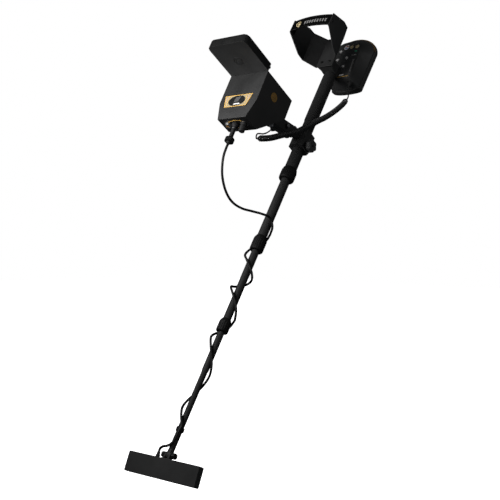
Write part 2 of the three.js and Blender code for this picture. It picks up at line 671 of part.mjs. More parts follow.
function addUnit() {
  const group = tilted(UNIT.n, UNIT.z, UNIT.tilt);
  const shells = unitShells();
  add("unit_cover", shells.cover, "shell", group);
  add("unit_back", shells.back, "shell", group);
  add("unit_battery", box([-20.5, -13.5], [-34, 34], [-50, 30]), "plastic", group);
  add("keypad_case", keypadCase(), "plastic");
  add("keypad_panel", keypadPanel(), "panel");
  KEYS.forEach(([y, z], i) => {
    const key = alongX(turned([[0, -3.4], [4.9, -3.4], [4.9, -2], [4.1, -2], [4.1, 1.2], [3.4, 1.8], [0, 1.8]], 16));
    add(`key_${i + 1}`, key.translate(UNIT.panel, y, z), "key");
  });
  const boot = turned([[0, 4], [4.3, 4], [4.3, -GAP], [7, -GAP], [6.4, -6], [4, -10], [2.6, -18], [0, -18]], 16);
  add("cord_boot", boot.translate(BOOT.x, BOOT.y, BOOT.z), "rubber");
}

// ---- Cords

/** The head cable's winding: [z, quarter turns from the front, distance from the pole's axis]. */
const WINDING = [
  [-390, 0, 24], [-421, 1, 17], [-448, 2, 21.5], [-500, 3, 20.5], [-530, 4, 14.5], [-556, 5, 18.5],
  [-574, 6, 17], [-592, 7, 21.5], [-628, 8, 15], [-668, 9, 18.4], [-700, 10, 19.4], [-729, 11, 18],
  [-776, 12, 13], [-818, 13, 14], [-864, 14, 13], [-908, 15, 15], [-950, 16, 14],
];
const FRONT = 43.5;

const wound = ([z, quarters, r]) => {
  const a = deg(FRONT + 90 * quarters);
  return [r * Math.cos(a), r * Math.sin(a), z];
};

const LOOP = [[231, -2, -342], [228.5, -2, -360], [221, -1, -382], [205, 0, -407], [176, 1, -428],
  [146, 2, -435], [110, 4, -428], [75, 8, -412], [42, 13, -397]];
const TAIL = [[11.6, 8.6, -968], [11.2, 7, -984], [11, 1, -996], [11.6, -8, -1002], [11, -18, -1004.5]];

/** The winding's points between two of its rows, with one more halfway between each two. */
function winding(from, to) {
  const rows = WINDING.slice(from, to);
  const halfway = (a, b) => a.map((value, i) => (value + b[i]) / 2);
  return rows.flatMap((row, i) => (i ? [halfway(rows[i - 1], row), row] : [row])).map(wound);
}

function addCords() {
  const start = inPole([PORTS.height, -CASE.length - PLUG.length - 0.9]);
  const loop = [[start[0], PORTS.plug, start[1]], ...LOOP, ...winding(0, 2)];
  add("cable_loop", cord(loop, CABLE, 24), "cable");
  add("cable_wrap_2", cord(shortened(winding(1, 10)), CABLE, 26), "cable");
  add("cable_wrap_3", cord(shortened(winding(9, 17)), CABLE, 20), "cable");
  add("cable_tail", cord(shortened([...winding(16, 17), ...TAIL, aboveGland(6), aboveGland(0.7)]), CABLE, 8), "cable");
}

/** The same points with the first one moved along, so that two stretches meet without touching. */
function shortened(points) {
  const [a, b] = points.slice(0, 2).map((p) => new THREE.Vector3(...p));
  const step = b.clone().sub(a).setLength(JOINT_GAP);
  return [a.add(step).toArray(), ...points.slice(1)];
}

/** A point of the case's own frame in the pole's frame. */
function inPole([x, z]) {
  const a = deg(CASE.pitch);
  return [CASE.hinge[0] + x * Math.cos(a) + z * Math.sin(a), CASE.hinge[1] - x * Math.sin(a) + z * Math.cos(a)];
}

/** A point so far above the head's gland, in the pole's frame. */
function aboveGland(up) {
  const a = deg(HEAD.tilt);
  const [x, z] = [GLAND.x, HEAD.top + 12 + up];
  return [x * Math.cos(a) + z * Math.sin(a), GLAND.y, HEAD.pin - x * Math.sin(a) + z * Math.cos(a)];
}

const COIL_ROUTE = [[182, 32, -273.6], [147.7, 34, -243.4], [112.3, 40, -202.9], [81.2, 42, -169.4],
  [51, 42, -126], [20.8, 42, -80.1], [1.7, 44, -50.9], [-22.1, 47, -7.3], [-36, 50, 26.2], [-43.6, 52, 52.7]];
const LEAD_FRONT = [[153, 30, -222], [160, 30, -236], [171, 30, -249.5], [182, 30.4, -258],
  [189.5, 31, -265.5], [190, 31.7, -274], [186.4, 32, -277.6], [182.8, 32, -274.4]];
const LEAD_REAR = [[-43.7, 52, 53.4], [-46, 51, 62], [-49, 46, 76], [BOOT.x, 39, 88], [BOOT.x, BOOT.y, 95],
  [BOOT.x, BOOT.y, BOOT.z - 18.6]];

function addCurlyCord() {
  add("curly_cord", cord(COIL_ROUTE, COIL, 12, 8), "cable");
  add("curly_lead_front", cord([linkPoint(12.6), linkPoint(16), ...LEAD_FRONT], LEAD, 14), "cable");
  add("curly_lead_rear", cord(LEAD_REAR, LEAD, 10), "cable");
}

/** A point on the side connector's axis, so far out of the case's underside. */
function linkPoint(far) {
  const { at, out } = underside();
  const [x, z] = inPole([at[0] + out[0] * far, at[1] + out[1] * far]);
  return [x, LINK.y, z];
}

addPole();
addLocks();
addHead();
addDisplay();
addArm();
addCuff();
addUnit();
addCords();
addCurlyCord();

export default detector;
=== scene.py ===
"""A metal detector on a telescoping pole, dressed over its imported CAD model.

Shapes are written in millimetres in the frame of the part they belong to, and piece() turns them
into the frame the model is packed in, in metres. In the pole's frame X is square to the pole, Y is
the user's left and Z runs up the pole from the hand grip.
"""
import math

import bmesh
import bpy
from mathutils import Matrix, Vector


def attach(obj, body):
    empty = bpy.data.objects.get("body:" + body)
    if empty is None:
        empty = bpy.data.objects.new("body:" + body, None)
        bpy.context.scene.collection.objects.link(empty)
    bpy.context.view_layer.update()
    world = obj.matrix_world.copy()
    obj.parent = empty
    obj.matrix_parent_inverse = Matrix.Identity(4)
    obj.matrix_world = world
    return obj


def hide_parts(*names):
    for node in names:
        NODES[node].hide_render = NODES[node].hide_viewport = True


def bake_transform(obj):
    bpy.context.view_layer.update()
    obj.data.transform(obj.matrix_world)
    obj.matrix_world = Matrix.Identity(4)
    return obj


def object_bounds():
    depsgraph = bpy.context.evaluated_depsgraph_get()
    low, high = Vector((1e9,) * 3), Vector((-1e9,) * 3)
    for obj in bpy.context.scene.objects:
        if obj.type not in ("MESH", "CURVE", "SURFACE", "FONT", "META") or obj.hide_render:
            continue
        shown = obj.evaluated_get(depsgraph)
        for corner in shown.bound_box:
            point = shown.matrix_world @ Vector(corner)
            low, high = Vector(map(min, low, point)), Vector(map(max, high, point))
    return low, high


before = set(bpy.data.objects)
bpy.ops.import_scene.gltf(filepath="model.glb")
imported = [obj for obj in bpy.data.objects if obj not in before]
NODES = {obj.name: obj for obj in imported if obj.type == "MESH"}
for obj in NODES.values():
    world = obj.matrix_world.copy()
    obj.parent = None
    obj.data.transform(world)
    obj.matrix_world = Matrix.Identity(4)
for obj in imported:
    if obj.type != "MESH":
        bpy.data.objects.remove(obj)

for spare in ("Cube", "Light", "Camera"):
    if spare in bpy.data.objects:
        bpy.data.objects.remove(bpy.data.objects[spare])
CAD_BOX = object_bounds()

SCENE = bpy.context.scene


# ---- Frames of the parts, and turns that lay a shape's Z along another axis

def tilted(parent, origin, degrees):
    """A part's frame, tipped forward by so many degrees in its parent's."""
    return parent @ Matrix.Translation(origin) @ Matrix.Rotation(math.radians(degrees), 4, "Y")


POLE_LEAN = 34
POLE = Matrix.Scale(0.001, 4) @ Matrix.Rotation(math.radians(-POLE_LEAN), 4, "Y")
CASE = tilted(POLE, (268, 0, -137.7), 3.66)
HEAD = tilted(POLE, (0, 0, -1018), 10.4)
UNIT = tilted(POLE, (-66, 0, 196), 12.4)
HINGE = CASE @ Vector((0, 0, 0))
ALONG_X = Matrix.Rotation(math.radians(90), 4, "Y")
BACK_X = Matrix.Rotation(math.radians(-90), 4, "Y")
ALONG_Y = Matrix.Rotation(math.radians(-90), 4, "X")
BACK_Y = Matrix.Rotation(math.radians(90), 4, "X")
BACK_Z = Matrix.Rotation(math.pi, 4, "Y")


# ---- Camera, light and floor

# The camera's place, the focal length for a sensor 36 mm wide, and the camera's three axes.
EYE = (1.88636, 1.26214, -0.38002)
LENS = 59.82
RIGHT = Vector((-0.62038, 0.78425, 0.00898))
UP = Vector((0.00013, -0.01135, 0.99994))
BACK = Vector((0.78430, 0.62035, 0.00694))

ROOM_LIGHT = 0.05
KEY_LIGHT = 13
FRONT_LIGHT = 16
FILL_LIGHT = 9

FLOOR_BELOW = 0.06
FLOOR_HALF = 9
FLOOR_GLOW = 1.4


def camera():
    """The main point of view: nearly level, ahead of the detector and to its left."""
    data = bpy.data.cameras.new("view")
    data.sensor_width = 36
    data.lens = LENS
    data.clip_end = 50
    turn = Matrix((RIGHT, UP, BACK)).transposed().to_4x4()
    eye = bpy.data.objects.new("view", data)
    eye.matrix_world = Matrix.Translation(EYE) @ turn
    SCENE.collection.objects.link(eye)
    SCENE.camera = eye


def lamp(name, aim, towards, distance, size, power):
    """A square soft light at a distance from the point it faces, in metres and watts."""
    data = bpy.data.lights.new(name, "AREA")
    data.shape = "SQUARE"
    data.size = size
    data.energy = power
    place = aim + towards.normalized() * distance
    obj = bpy.data.objects.new(name, data)
    obj.matrix_world = Matrix.Translation(place) @ towards.to_track_quat("Z", "Y").to_matrix().to_4x4()
    SCENE.collection.objects.link(obj)


def studio():
    """White paper all round, a key lamp close to the case and two larger lamps farther off."""
    SCENE.view_settings.view_transform = "Standard"
    world = bpy.data.worlds.new("studio")
    SCENE.world = world
    world.use_nodes = True
    tree = world.node_tree
    tree.nodes.clear()
    seen = tree.nodes.new("ShaderNodeBackground")
    seen.inputs["Color"].default_value = (1, 1, 1, 1)
    room = tree.nodes.new("ShaderNodeBackground")
    room.inputs["Color"].default_value = (0.9, 0.95, 1, 1)
    room.inputs["Strength"].default_value = ROOM_LIGHT
    ray = tree.nodes.new("ShaderNodeLightPath")
    mix = tree.nodes.new("ShaderNodeMixShader")
    out = tree.nodes.new("ShaderNodeOutputWorld")
    tree.links.new(ray.outputs["Is Camera Ray"], mix.inputs["Fac"])
    tree.links.new(room.outputs[0], mix.inputs[1])
    tree.links.new(seen.outputs[0], mix.inputs[2])
    tree.links.new(mix.outputs[0], out.inputs["Surface"])
    middle = (CAD_BOX[0] + CAD_BOX[1]) / 2
    lamp("key", HINGE, BACK * 0.5 - RIGHT * 0.9 + UP * 0.2, 0.75, 0.6, KEY_LIGHT)
    lamp("front", middle, BACK * 0.9 - RIGHT * 0.5 + UP * 0.1, 2.8, 1.2, FRONT_LIGHT)
    lamp("fill", middle, BACK * 0.5 + RIGHT * 0.8 + UP * 0.5, 2.8, 1.4, FILL_LIGHT)


def floor():
    """A pale sheet of paper below the detector, which is held just off it."""
    low = CAD_BOX[0].z - FLOOR_BELOW
    mesh = bpy.data.meshes.new("floor")
    corners = [(x * FLOOR_HALF, y * FLOOR_HALF, low) for x, y in ((-1, -1), (1, -1), (1, 1), (-1, 1))]
    mesh.from_pydata(corners, [], [(0, 1, 2, 3)])
    obj = bpy.data.objects.new("floor", mesh)
    SCENE.collection.objects.link(obj)
    paper = bpy.data.materials.new("paper")
    paper.use_nodes = True
    shader = paper.node_tree.nodes["Principled BSDF"]
    shader.inputs["Base Color"].default_value = (0.9, 0.9, 0.9, 1)
    shader.inputs["Roughness"].default_value = 0.9
    shader.inputs["Emission Color"].default_value = (1, 1, 1, 1)
    shader.inputs["Emission Strength"].default_value = FLOOR_GLOW
    mesh.materials.append(paper)
    obj.visible_diffuse = False
    obj.visible_glossy = False


# ---- Materials

def nodes_of(material):
    """The material's emptied node tree, with a new shader on its output."""
    material.use_nodes = True
    tree = material.node_tree
    tree.nodes.clear()
    out = tree.nodes.new("ShaderNodeOutputMaterial")
    shader = tree.nodes.new("ShaderNodeBsdfPrincipled")
    tree.links.new(shader.outputs[0], out.inputs["Surface"])
    return tree, shader


def add_node(tree, kind, inputs=(), **settings):
    """A shader node, with each input linked to a socket or set to a value."""
    node = tree.nodes.new("ShaderNode" + kind)
    for key, value in settings.items():
        setattr(node, key, value)
    for key, value in dict(inputs).items():
        if isinstance(value, bpy.types.NodeSocket):
            tree.links.new(value, node.inputs[key])
        else:
            node.inputs[key].default_value = value
    return node


def pole_coordinates(tree, stretch=(1, 1, 1)):
    """Object coordinates turned into the pole's frame, in metres."""
    place = add_node(tree, "TexCoord")
    turn = add_node(tree, "Mapping", {"Vector": place.outputs["Object"],
                                      "Rotation": (0, math.radians(POLE_LEAN), 0)})
    scaled = add_node(tree, "VectorMath", {0: turn.outputs[0], 1: stretch}, operation="MULTIPLY")
    return scaled.outputs[0]


def noise(tree, place, size, detail=3.0):
    """Fractal noise whose blobs are about so many millimetres across."""
    node = add_node(tree, "TexNoise", {"Vector": place, "Scale": 1000 / size, "Detail": detail})
    return node.outputs["Fac"]


def ranged(tree, value, low, high, start=0.3, end=0.7):
    """The value stretched from start..end, most of a noise's range, to low..high."""
    return add_node(tree, "MapRange", {"Value": value, "From Min": start, "From Max": end,
                                       "To Min": low, "To Max": high}).outputs["Result"]


def mixed(tree, factor, first, second):
    """A colour between two, each of them a socket or three numbers."""
    node = add_node(tree, "Mix", data_type="RGBA")
    tree.links.new(factor, node.inputs["Factor"])
    for name, value in (("A", first), ("B", second)):
        socket = [s for s in node.inputs if s.name == name and s.type == "RGBA"][0]
        if isinstance(value, bpy.types.NodeSocket):
            tree.links.new(value, socket)
        else:
            socket.default_value = (*value, 1)
    return [s for s in node.outputs if s.type == "RGBA"][0]


def finish(name, tone, rough, metal=0.0, grain=(0.7, 0.05), mottle=(60, 0.25), spec=0.22,
           wear_and_edge_highlight=None, stretch=(1, 1, 1), sheen=0.0, coat=0.0, weave=None, painted_light_scales=None):
    """One finish: a mottled tone, a roughness that varies with it and a fine grained surface.

    grain is (size, depth) and mottle (size, share) in millimetres, wear_and_edge_highlight the tone
    laid on the edges, part the rubbing of use and part a painted highlight, weave the pitch of crossing
    ribs, and painted_light_scales the three scales of painted light and shade that
    paint_light_by_facing() takes.
    """
    material = bpy.data.materials.new(name)
    tree, shader = nodes_of(material)
    place = pole_coordinates(tree, stretch)
    broad = noise(tree, place, mottle[0])
    fine = noise(tree, place, grain[0], 2.0)
    dark = tuple(c * (1 - mottle[1]) for c in tone)
    light = tuple(min(1, c * (1 + mottle[1])) for c in tone)
    color = mixed(tree, ranged(tree, broad, 0, 1), dark, light)
    color = mixed(tree, ranged(tree, fine, 0, 0.35), color, light)
    # Edges made lighter by pointiness: part rubbing from use, part a painted highlight along the edges.
    if wear_and_edge_highlight:
        edge = add_node(tree, "NewGeometry").outputs["Pointiness"]
        rubbed_and_lit_edges = ranged(tree, edge, 0, 0.8, 0.53, 0.62)
        patchy_wear_and_highlight = add_node(tree, "Math", {0: rubbed_and_lit_edges, 1: ranged(tree, fine, 0.3, 1)}, operation="MULTIPLY")
        color = mixed(tree, patchy_wear_and_highlight.outputs[0], color, wear_and_edge_highlight)
    # Painted light and shade: the tone is scaled by which way each face points, and along the lid from its
    # hinge.
    if painted_light_scales:
        color = paint_light_by_facing(tree, color, *painted_light_scales)
    tree.links.new(color, shader.inputs["Base Color"])
    worn = ranged(tree, noise(tree, place, mottle[0] * 0.4), rough - 0.06, rough + 0.08)
    tree.links.new(worn, shader.inputs["Roughness"])
    shader.inputs["Metallic"].default_value = metal
    shader.inputs["Specular IOR Level"].default_value = spec
    shader.inputs["Sheen Weight"].default_value = sheen
    shader.inputs["Coat Weight"].default_value = coat
    height = fine
    if weave:
        height = woven(tree, pole_coordinates(tree), weave)
    bump = add_node(tree, "Bump", {"Height": height, "Strength": 0.8, "Distance": grain[1] / 1000})
    tree.links.new(bump.outputs[0], shader.inputs["Normal"])
    return material


def paint_light_by_facing(tree, color, near, far, others):
    """Paints light and shade into the tone by which way a face points: it scales the tone of the faces
    that point down the case's Z, and that of the others.

    On the faces that point there the painted light goes from near, at the case's hinge, to far at 0.1 m.
    """
    place = add_node(tree, "TexCoord")
    down = (CASE.to_3x3() @ Vector((0, 0, -1))).normalized()
    along = (CASE.to_3x3() @ Vector((1, 0, 0))).normalized()
    side = add_node(tree, "VectorMath", {0: place.outputs["Normal"], 1: down}, operation="DOT_PRODUCT")
    from_hinge = add_node(tree, "VectorMath", {0: place.outputs["Object"], 1: HINGE}, operation="SUBTRACT")
    reach = add_node(tree, "VectorMath", {0: from_hinge.outputs[0], 1: along}, operation="DOT_PRODUCT")
    inside = ranged(tree, reach.outputs["Value"], near, far, 0, 0.1)
    share = add_node(tree, "MapRange", {"Value": side.outputs["Value"], "From Min": 0.8, "From Max": 0.95,
                                        "To Min": others, "To Max": inside}).outputs["Result"]
    scaled = add_node(tree, "VectorMath", {0: color, "Scale": share}, operation="SCALE")
    return scaled.outputs[0]


def woven(tree, place, pitch):
    """The height of a webbing's weave: ribs across it, broken up by the threads along it."""
    across = add_node(tree, "TexWave", {"Vector": place, "Scale": 1000 / pitch / 6.283, "Distortion": 0.4},
                      bands_direction="Y")
    along = add_node(tree, "TexWave", {"Vector": place, "Scale": 1000 / pitch / 9.4, "Distortion": 0.4},
                     bands_direction="Z")
    both = add_node(tree, "Math", {0: across.outputs["Fac"], 1: along.outputs["Fac"]}, operation="MULTIPLY")
    return both.outputs[0]


def grey(value, warm=0.0):
    """A neutral tone, or one that is redder and less blue by a share."""
    return (value * (1 + warm), value, value * (1 - warm))


def make_finishes():
    """Every finish by the name the pieces use for it."""
    # The edge tone: part rubbing from use, part a painted highlight along the edges.
    edge = grey(0.07)
    return {
        "tube": finish("pole_paint", grey(0.014), 0.62, grain=(0.5, 0.02), spec=0.14, stretch=(1, 1, 0.25)),
        "foam": finish("grip_foam_pores", grey(0.008), 0.9, grain=(0.9, 0.25), spec=0.2, sheen=0.1),
        "lock": finish("lock_nylon", grey(0.003), 0.6, grain=(0.6, 0.05), spec=0.12),
        "head": finish("head_abs", grey(0.014), 0.52, grain=(0.8, 0.06), wear_and_edge_highlight=edge),
        "knob": finish("knob_nylon", grey(0.004), 0.5, grain=(0.5, 0.03)),
        "big_knob": finish("clamp_knob_nylon", grey(0.03), 0.45, grain=(0.6, 0.04), spec=0.35),
        "mount": finish("mount_composite", grey(0.02), 0.55, grain=(0.7, 0.08)),
        # Painted light and shade: the case's faces that point down its Z are darker. The lid's faces that
        # point there are lighter near the hinge, and its other faces are darker.
        "case": finish("case_abs", grey(0.014), 0.48, grain=(0.7, 0.05), wear_and_edge_highlight=edge, painted_light_scales=(0.4, 0.4, 1)),
        "lid": finish("lid_abs", grey(0.014), 0.5, grain=(0.7, 0.05), painted_light_scales=(2.6, 1.0, 0.15)),
        "lid_mark": finish("lid_embossing", grey(0.014), 0.4, grain=(0.5, 0.05)),
        "bezel": finish("bezel_abs", grey(0.008), 0.6, grain=(0.6, 0.05)),
        "cuff": finish("cuff_powder", grey(0.018), 0.55, grain=(0.5, 0.06), wear_and_edge_highlight=edge),
        "unit": finish("unit_abs", grey(0.013), 0.5, grain=(0.8, 0.06), wear_and_edge_highlight=edge),
        "film": finish("panel_film_print", grey(0.035), 0.4, grain=(0.4, 0.01), mottle=(4, 0.5)),
        "rubber": finish("moulded_rubber", grey(0.006), 0.7, grain=(0.5, 0.05), spec=0.3),
        "cable": finish("cable_pvc", grey(0.004), 0.5, grain=(0.4, 0.02), spec=0.2),
        "coil": finish("coil_sheath", grey(0.016), 0.45, grain=(0.4, 0.02), spec=0.4),
        "web": finish("strap_webbing", grey(0.0015), 0.88, grain=(0.4, 0.35), spec=0.05, weave=1.4),
        "thread": finish("stitch_thread", grey(0.03), 0.85, grain=(0.2, 0.05), sheen=0.2),
        "steel": finish("brushed_steel", grey(0.42), 0.32, metal=1, grain=(0.3, 0.01), stretch=(1, 1, 0.1)),
        "dark_steel": finish("black_oxide", grey(0.05), 0.38, metal=1, grain=(0.3, 0.02)),
        "gold": finish("gold_plate", (0.72, 0.42, 0.11), 0.3, metal=1, grain=(0.3, 0.01), mottle=(8, 0.15)),
        "gold_print": finish("gold_print", (0.55, 0.33, 0.08), 0.45, grain=(0.3, 0.01), mottle=(6, 0.15)),
        "cream": finish("label_cream", (0.3, 0.25, 0.155), 0.5, grain=(0.3, 0.01), mottle=(10, 0.06)),
        "white": finish("printed_white", grey(0.72, 0.02), 0.5, grain=(0.3, 0.01), mottle=(6, 0.08)),
        "ink": finish("printed_black", grey(0.006), 0.4, grain=(0.3, 0.01)),
        "printed_grey": finish("printed_grey", grey(0.2, 0.02), 0.55, grain=(0.4, 0.02), mottle=(5, 0.2)),
        "core": finish("label_core_print", grey(0.06), 0.5, grain=(0.4, 0.02), mottle=(5, 0.2)),
        "gold_pale": finish("gold_foil_pale", (0.62, 0.5, 0.28), 0.4, grain=(0.3, 0.01), mottle=(4, 0.2)),
        "bronze": finish("bronze_print", (0.2, 0.115, 0.036), 0.45, grain=(0.3, 0.01), mottle=(6, 0.25)),
        "rose": finish("rose_print", (0.62, 0.38, 0.32), 0.5, grain=(0.3, 0.01), mottle=(5, 0.1)),
        "lcd": finish("lcd_segments", grey(0.02), 0.3, grain=(0.3, 0.005)),
        "green": finish("printed_green", (0.05, 0.4, 0.22), 0.4, grain=(0.3, 0.01)),
        "red": finish("printed_red", (0.5, 0.06, 0.04), 0.4, grain=(0.3, 0.01)),
        "blue": finish("printed_blue", (0.06, 0.16, 0.5), 0.4, grain=(0.3, 0.01)),
        "key": finish("key_rubber", grey(0.62, 0.02), 0.6, grain=(0.3, 0.02), mottle=(3, 0.08)),
        "board": finish("board_solder_mask", (0.02, 0.12, 0.05), 0.4, grain=(0.4, 0.02)),
        "copper": finish("enamelled_copper", (0.5, 0.2, 0.08), 0.35, metal=1, grain=(0.5, 0.05),
                         stretch=(1, 1, 4)),
        "screen": finish("screen_stack", (0.012, 0.02, 0.03), 0.2, grain=(0.3, 0.005), coat=0.5),
        "battery": finish("battery_wrap", (0.02, 0.03, 0.06), 0.4, grain=(0.5, 0.02)),
        "glass": glass(),
    }


def glass():
    """Clear cover glass with faint smears in its gloss."""
    material = bpy.data.materials.new("cover_glass")
    tree, shader = nodes_of(material)
    smear = noise(tree, pole_coordinates(tree), 25)
    tree.links.new(ranged(tree, smear, 0.03, 0.12), shader.inputs["Roughness"])
    tint = mixed(tree, ranged(tree, smear, 0, 1), (0.9, 0.95, 0.95), (1, 1, 1))
    tree.links.new(tint, shader.inputs["Base Color"])
    shader.inputs["Transmission Weight"].default_value = 0.95
    shader.inputs["IOR"].default_value = 1.5
    return material


# ---- Shapes: each is (points, faces) in millimetres

def joined(*shapes):
    """Several shapes as one."""
    points, faces = [], []
    for some, ring in shapes:
        faces += [tuple(i + len(points) for i in face) for face in ring]
        points += [Vector(p) for p in some]
    return points, faces


def moved(shape, *steps):
    """The shape after each matrix, the last one first, as matrices multiply."""
    matrix = Matrix.Identity(4)
    for step in steps:
        matrix = matrix @ step
    return [matrix @ Vector(p) for p in shape[0]], shape[1]


def at(x, y, z):
    """A step to a point."""
    return Matrix.Translation((x, y, z))


def lathe(profile, segments=40, ripple=None):
    """A solid of revolution about Z; ripple(angle, height) is added to the radius where it isn't 0."""
    points, faces = [], []
    for i in range(segments):
        a = 2 * math.pi * i / segments
        for r, z in profile:
            grown = r + (ripple(a, z) if ripple and r > 0 else 0)
            points.append(Vector((grown * math.cos(a), grown * math.sin(a), z)))
    n = len(profile)
    for i in range(segments):
        j = (i + 1) % segments
        for k in range(n - 1):
            faces.append((i * n + k, j * n + k, j * n + k + 1, i * n + k + 1))
    return points, faces


def disc(radius, low, high, edge=0.3, segments=32):
    """A round plate square to Z with broken edges."""
    return lathe([(0, low), (radius - edge, low), (radius, low + edge), (radius, high - edge),
                  (radius - edge, high), (0, high)], segments)


def washer(inner, outer, low, high, segments=40):
    """A flat ring square to Z with broken edges."""
    edge = min(0.3, (high - low) / 3)
    return lathe([(inner, low), (outer - edge, low), (outer, low + edge), (outer, high - edge),
                  (outer - edge, high), (inner + edge, high), (inner, high - edge), (inner, low)], segments)


LAID = {"x": lambda u, v, w: (w, u, v), "y": lambda u, v, w: (u, w, v), "z": lambda u, v, w: (u, v, w)}


def plate(outline, low, high, normal="x"):
    """A flat outline of (u, v) points, thickened along x, y or z from low to high."""
    place = LAID[normal]
    n = len(outline)
    points = [Vector(place(u, v, w)) for w in (low, high) for u, v in outline]
    sides = [(i, (i + 1) % n, n + (i + 1) % n, n + i) for i in range(n)]
    return points, [tuple(range(n)), tuple(range(n, 2 * n)), *sides]


def frame_plate(outer, inner, low, high, normal="x"):
    """A flat ring between two outlines with the same number of points."""
    n = len(outer)
    place = LAID[normal]
    points = [Vector(place(u, v, w)) for w in (low, high) for line in (outer, inner) for u, v in line]
    faces = []
    for i in range(n):
        j = (i + 1) % n
        a, b, c, d = i, j, n + j, n + i
        faces += [(a, b, c, d), (a + 2 * n, b + 2 * n, c + 2 * n, d + 2 * n),
                  (a, b, b + 2 * n, a + 2 * n), (d, c, c + 2 * n, d + 2 * n)]
    return points, faces


def across(shape):
    """The shape with its X and Y exchanged."""
    return [Vector((p.y, p.x, p.z)) for p in shape[0]], shape[1]


def oval(u, v, half_u, half_v, count=32, start=0, end=360):
    """Points round an oval about (u, v), or along a part of it from one angle to another."""
    closed = end - start >= 360
    steps = count if closed else count - 1
    angles = [math.radians(start + (end - start) * i / steps) for i in range(count)]
    return [(u + half_u * math.cos(a), v + half_v * math.sin(a)) for a in angles]


def arc_band(u, v, radius, width, start, end, count=20):
    """The outline of a bent band, from one angle to another."""
    outer = oval(u, v, radius + width / 2, radius + width / 2, count, start, end)
    inner = oval(u, v, radius - width / 2, radius - width / 2, count, start, end)
    return outer + inner[::-1]


def oblong(u, v, width, height, radius, turn=0.0):
    """A rectangle with round corners about (u, v), turned by so many degrees."""
    points = []
    for su, sv, start in ((1, 1, 0), (-1, 1, 90), (-1, -1, 180), (1, -1, 270)):
        cu, cv = su * (width / 2 - radius), sv * (height / 2 - radius)
        points += oval(cu, cv, radius, radius, 5, start, start + 90)
    c, s = math.cos(math.radians(turn)), math.sin(math.radians(turn))
    return [(u + a * c - b * s, v + a * s + b * c) for a, b in points]


def spline(points, step):
    """A smooth line through the points, with a point about every step millimetres."""
    given = [Vector(p) for p in points]
    ends = [2 * given[0] - given[1], *given, 2 * given[-1] - given[-2]]
    line = []
    for a, b, c, d in zip(ends, ends[1:], ends[2:], ends[3:]):
        t1 = math.sqrt((b - a).length)
        t2 = t1 + math.sqrt((c - b).length)
        t3 = t2 + math.sqrt((d - c).length)
        count = max(2, round((c - b).length / step))
        for i in range(count):
            t = t1 + (t2 - t1) * i / count
            a1 = a.lerp(b, t / t1)
            a2 = b.lerp(c, (t - t1) / (t2 - t1))
            a3 = c.lerp(d, (t - t2) / (t3 - t2))
            b1 = a1.lerp(a2, t / t2)
            b2 = a2.lerp(a3, (t - t1) / (t3 - t1))
            line.append(b1.lerp(b2, (t - t1) / (t2 - t1)))
    return [*line, given[-1]]


def even(line, step):
    """The same line with its points exactly one step apart."""
    out, left = [line[0]], step
    for a, b in zip(line, line[1:]):
        span = (b - a).length
        along = left
        while along <= span:
            out.append(a.lerp(b, along / span))
            along += step
        left = along - span
    return out


def frames_along(line):
    """Each point with two directions square to the line there."""
    side = Vector((0.3, 0.8, 0.5))
    for i, p in enumerate(line):
        forward = (line[min(i + 1, len(line) - 1)] - line[max(i - 1, 0)]).normalized()
        side = (side - forward * side.dot(forward)).normalized()
        yield p, side, forward.cross(side)


def tube(line, radius, sides):
    """A round bar along a line."""
    points, faces = [], []
    for p, side, other in frames_along(line):
        for k in range(sides):
            a = 2 * math.pi * k / sides
            points.append(p + (side * math.cos(a) + other * math.sin(a)) * radius)
    for i in range(len(line) - 1):
        for k in range(sides):
            m = (k + 1) % sides
            faces.append((i * sides + k, i * sides + m, (i + 1) * sides + m, (i + 1) * sides + k))
    last = (len(line) - 1) * sides
    return points, [*faces, tuple(range(sides)), tuple(last + k for k in range(sides))]


def coiled(line, radius, pitch, per_turn=14, runout=1.5):
    """The centreline of a coil wound round a line, closing onto the line over its end turns."""
    fine = even(line, pitch / per_turn)
    out = []
    for i, (p, side, other) in enumerate(frames_along(fine)):
        a = 2 * math.pi * i / per_turn
        nearest_end = min(i, len(fine) - 1 - i) / per_turn
        r = radius * min(1, nearest_end / runout) ** 0.7
        out.append(p + (side * math.cos(a) + other * math.sin(a)) * r)
    return out


# ---- Pieces

def piece(name, body, shape, look, where=POLE, stands_for=(), merge=1e-6, smooth=40):
    """One mesh object made from a shape, riding on a body; with no body it rides on none.

    Points closer than merge, in metres, become one, and edges under smooth degrees are shaded round.
    """
    mesh = bpy.data.meshes.new(name)
    mesh.from_pydata([where @ Vector(p) for p in shape[0]], [], shape[1])
    work = bmesh.new()
    work.from_mesh(mesh)
    bmesh.ops.remove_doubles(work, verts=work.verts, dist=merge)
    bmesh.ops.recalc_face_normals(work, faces=work.faces)
    work.to_mesh(mesh)
    work.free()
    obj = bpy.data.objects.new(name, mesh)
    SCENE.collection.objects.link(obj)
    mesh.materials.append(look)
    mesh.shade_smooth()
    mesh.set_sharp_from_angle(angle=math.radians(smooth))
    if body:
        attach(obj, body)
    if stands_for:
        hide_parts(*stands_for)
    return obj


def soften(obj, width):
    """Rounds an object's edges by so many millimetres."""
    bevel = obj.modifiers.new("round", "BEVEL")
    bevel.width = width / 1000
    bevel.segments = 2
    bevel.limit_method = "ANGLE"
    bevel.angle_limit = math.radians(32)
    bevel.harden_normals = True


def dress(name, look, width):
    """A CAD node keeps its shape and gets its finish and rounded edges."""
    obj = NODES[name]
    mesh = obj.data
    for old in ("custom_normal", "sharp_edge"):
        if old in mesh.attributes:
            mesh.attributes.remove(mesh.attributes[old])
    mesh.shade_smooth()
    mesh.materials.clear()
    mesh.materials.append(look)
    weld = obj.modifiers.new("weld", "WELD")
    weld.merge_threshold = 2e-6
    if width:
        soften(obj, width)
    normals = obj.modifiers.new("normals", "WEIGHTED_NORMAL")
    normals.keep_sharp = True


# ---- Cords

# Diameters of the head cable, the curly lead's wire and its coil, and the coil's pitch.
CABLE = 6.0
LEAD = 3.6
COIL = 16.0
COIL_PITCH = 5.8
FRONT = 43.5
